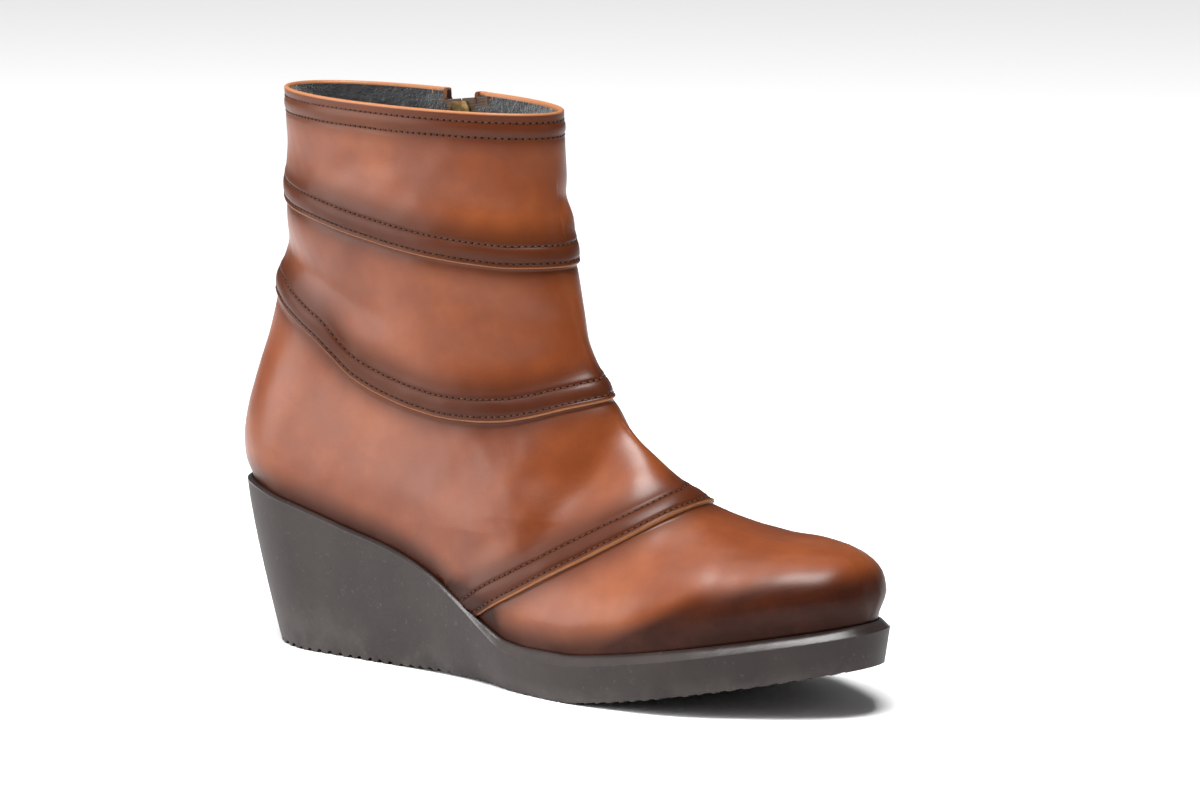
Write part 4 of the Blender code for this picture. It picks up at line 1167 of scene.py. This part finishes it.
tooth_quads = np.concatenate(
    [
        sheet_faces(6, 8, True),
        np.array([[0, 1, 2, 3], [0, 3, 4, 7], [4, 5, 6, 7]])[:, ::-1],
        np.array([[40, 41, 42, 43], [40, 43, 44, 47], [44, 45, 46, 47]]),
    ]
)
for node, side, late in (("zip_teeth_back", -1.0, 0.0), ("zip_teeth_front", 1.0, 0.5)):
    heights = teeth_top - (np.arange(teeth_count) + late + 0.25) * TOOTH_PITCH
    z = heights[:, None, None] + half_along[None]
    across = side * TOOTH.across[None, :, None] + np.zeros_like(z)
    depth = TAPE_DEPTH - (middle_out + half_out)[None] + np.zeros_like(z)
    row_points = zip_point(z, across, depth).reshape(-1, 3)
    quads = (np.arange(teeth_count)[:, None, None] * 48 + tooth_quads[None]).reshape(-1, 4)
    if side > 0:
        quads = quads[:, ::-1]
    teeth = add_mesh(node + "_look", in_place(row_points), quads, brass, weld=0)
    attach(teeth, "boot")
    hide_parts(node)

for node, body, rounding in (("zip_slider", "boot", 0.00042), ("zip_pull", "pull_tab", 0.00036)):
    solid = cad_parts[node]
    cast = solid.data.copy()
    cast.transform(solid.matrix_world)
    work = bmesh.new()
    work.from_mesh(cast)
    bmesh.ops.remove_doubles(work, verts=work.verts, dist=1e-5)
    bmesh.ops.dissolve_limit(
        work, angle_limit=math.radians(3), verts=work.verts, edges=work.edges
    )
    work.to_mesh(cast)
    work.free()
    cast.materials.clear()
    cast.materials.append(brass)
    casting = bpy.data.objects.new(node + "_casting", cast)
    bpy.context.scene.collection.objects.link(casting)
    rounded = casting.modifiers.new("rounding", "BEVEL")
    rounded.width, rounded.segments, rounded.limit_method = rounding, 3, "ANGLE"
    rounded.angle_limit = math.radians(30)
    rounded.harden_normals = True
    cast.shade_smooth()
    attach(casting, body)
    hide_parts(node)

# Stitches beside the zip. Two rows follow the slot's edges and turn round its foot.
zip_lines = []
for beside in SLOT_STITCHES:
    z = np.linspace(COLLAR_HEIGHT - 0.0012, SLOT_FOOT, 700)
    middle, half = slot_at(z)
    half = half + beside
    turn_foot = np.linspace(0, math.pi, 80)[1:-1]
    x = np.concatenate(
        [middle - half, middle[-1] - half[-1] * np.cos(turn_foot), (middle + half)[::-1]]
    )
    drop = half[-1] * np.sin(turn_foot) / FOOT_SQUASH
    z = np.concatenate([z, SLOT_FOOT - drop, z[::-1]])
    point, way = on_leather(x, z, np.zeros(len(x)))
    on_inner = np.ones(len(x), dtype=bool)
    lift = hide_relief(point, on_inner) + STITCH_THICK * STITCH_PROUD - SLOT_GROOVE_FILL
    for rows in (VAMP_SEAM, ANKLE_SEAM, COLLAR_SEAM):
        lift += seam_relief(above_seam(rows, point, on_inner))
    point = point + way * lift[:, None]
    keep = z > rim_top(x) + 0.0010
    zip_lines.append((point[keep], way[keep]))
sew("zip_stitches", zip_lines, thread)

# Floor, light and camera. A pale seamless floor, broad soft lights as in a catalogue studio,
# and the camera at the photograph's angle to the boot.
FLOOR_SIZE = 12.0
floor_look, shader, here = new_look("pale_floor")
plug(shader, Base_Color=(0.93, 0.93, 0.935, 1.0), Roughness=0.55, Specular_IOR_Level=0.25)
half = FLOOR_SIZE / 2
corners = np.array([[-half, -half, 0], [half, -half, 0], [half, half, 0], [-half, half, 0]])
floor = add_mesh("studio_floor", corners, np.array([[0, 1, 2, 3]]), floor_look, weld=0)

world = bpy.data.worlds.new("studio_air")
world.use_nodes = True
world.node_tree.nodes["Background"].inputs["Color"].default_value = (1.0, 1.0, 1.0, 1.0)
world.node_tree.nodes["Background"].inputs["Strength"].default_value = 0.14
bpy.context.scene.world = world
bpy.context.scene.view_settings.view_transform = "Standard"
bpy.context.scene.view_settings.look = "None"

EYE = (1.1316, -1.3434, 0.3541)
GAZE = (-0.58679, 0.79457, -0.15600)
LENS = 157.5


def aim(thing, way):
    """Turn an object so that its -Z looks along a way, with its top kept up."""
    thing.rotation_euler = Vector(way).to_track_quat("-Z", "Y").to_euler()


target = Vector(in_place(np.array([0.115, 0.0, 0.085])))


def soft_light(name, place, width, length, power, colour=(1, 1, 1)):
    """A rectangular studio light at a place, facing the boot."""
    data = bpy.data.lights.new(name, "AREA")
    data.shape, data.size, data.size_y = "RECTANGLE", width, length
    data.energy, data.color = power, colour
    light = bpy.data.objects.new(name, data)
    light.location = place
    bpy.context.scene.collection.objects.link(light)
    aim(light, target - Vector(place))


soft_light("key_left", (-1.40, -1.25, 0.66), 1.7, 1.2, 40)
soft_light("top_box", (0.25, -0.4, 1.9), 1.0, 0.8, 66)
soft_light("right_fill", (1.9, 0.5, 1.0), 0.8, 1.0, 2)
ceiling_data = bpy.data.lights.new("ceiling", "SUN")
ceiling_data.energy, ceiling_data.angle = 2.1, math.radians(70)
ceiling = bpy.data.objects.new("ceiling", ceiling_data)
bpy.context.scene.collection.objects.link(ceiling)
aim(ceiling, (0.30, 0.25, -1.0))

camera_data = bpy.data.cameras.new("camera")
camera_data.lens, camera_data.sensor_width = LENS, 36.0
camera_data.clip_start, camera_data.clip_end = 0.05, 50.0
camera = bpy.data.objects.new("camera", camera_data)
camera.location = Vector(in_place(np.array(EYE)))
aim(camera, Vector(GAZE))
bpy.context.scene.collection.objects.link(camera)
bpy.context.scene.camera = camera
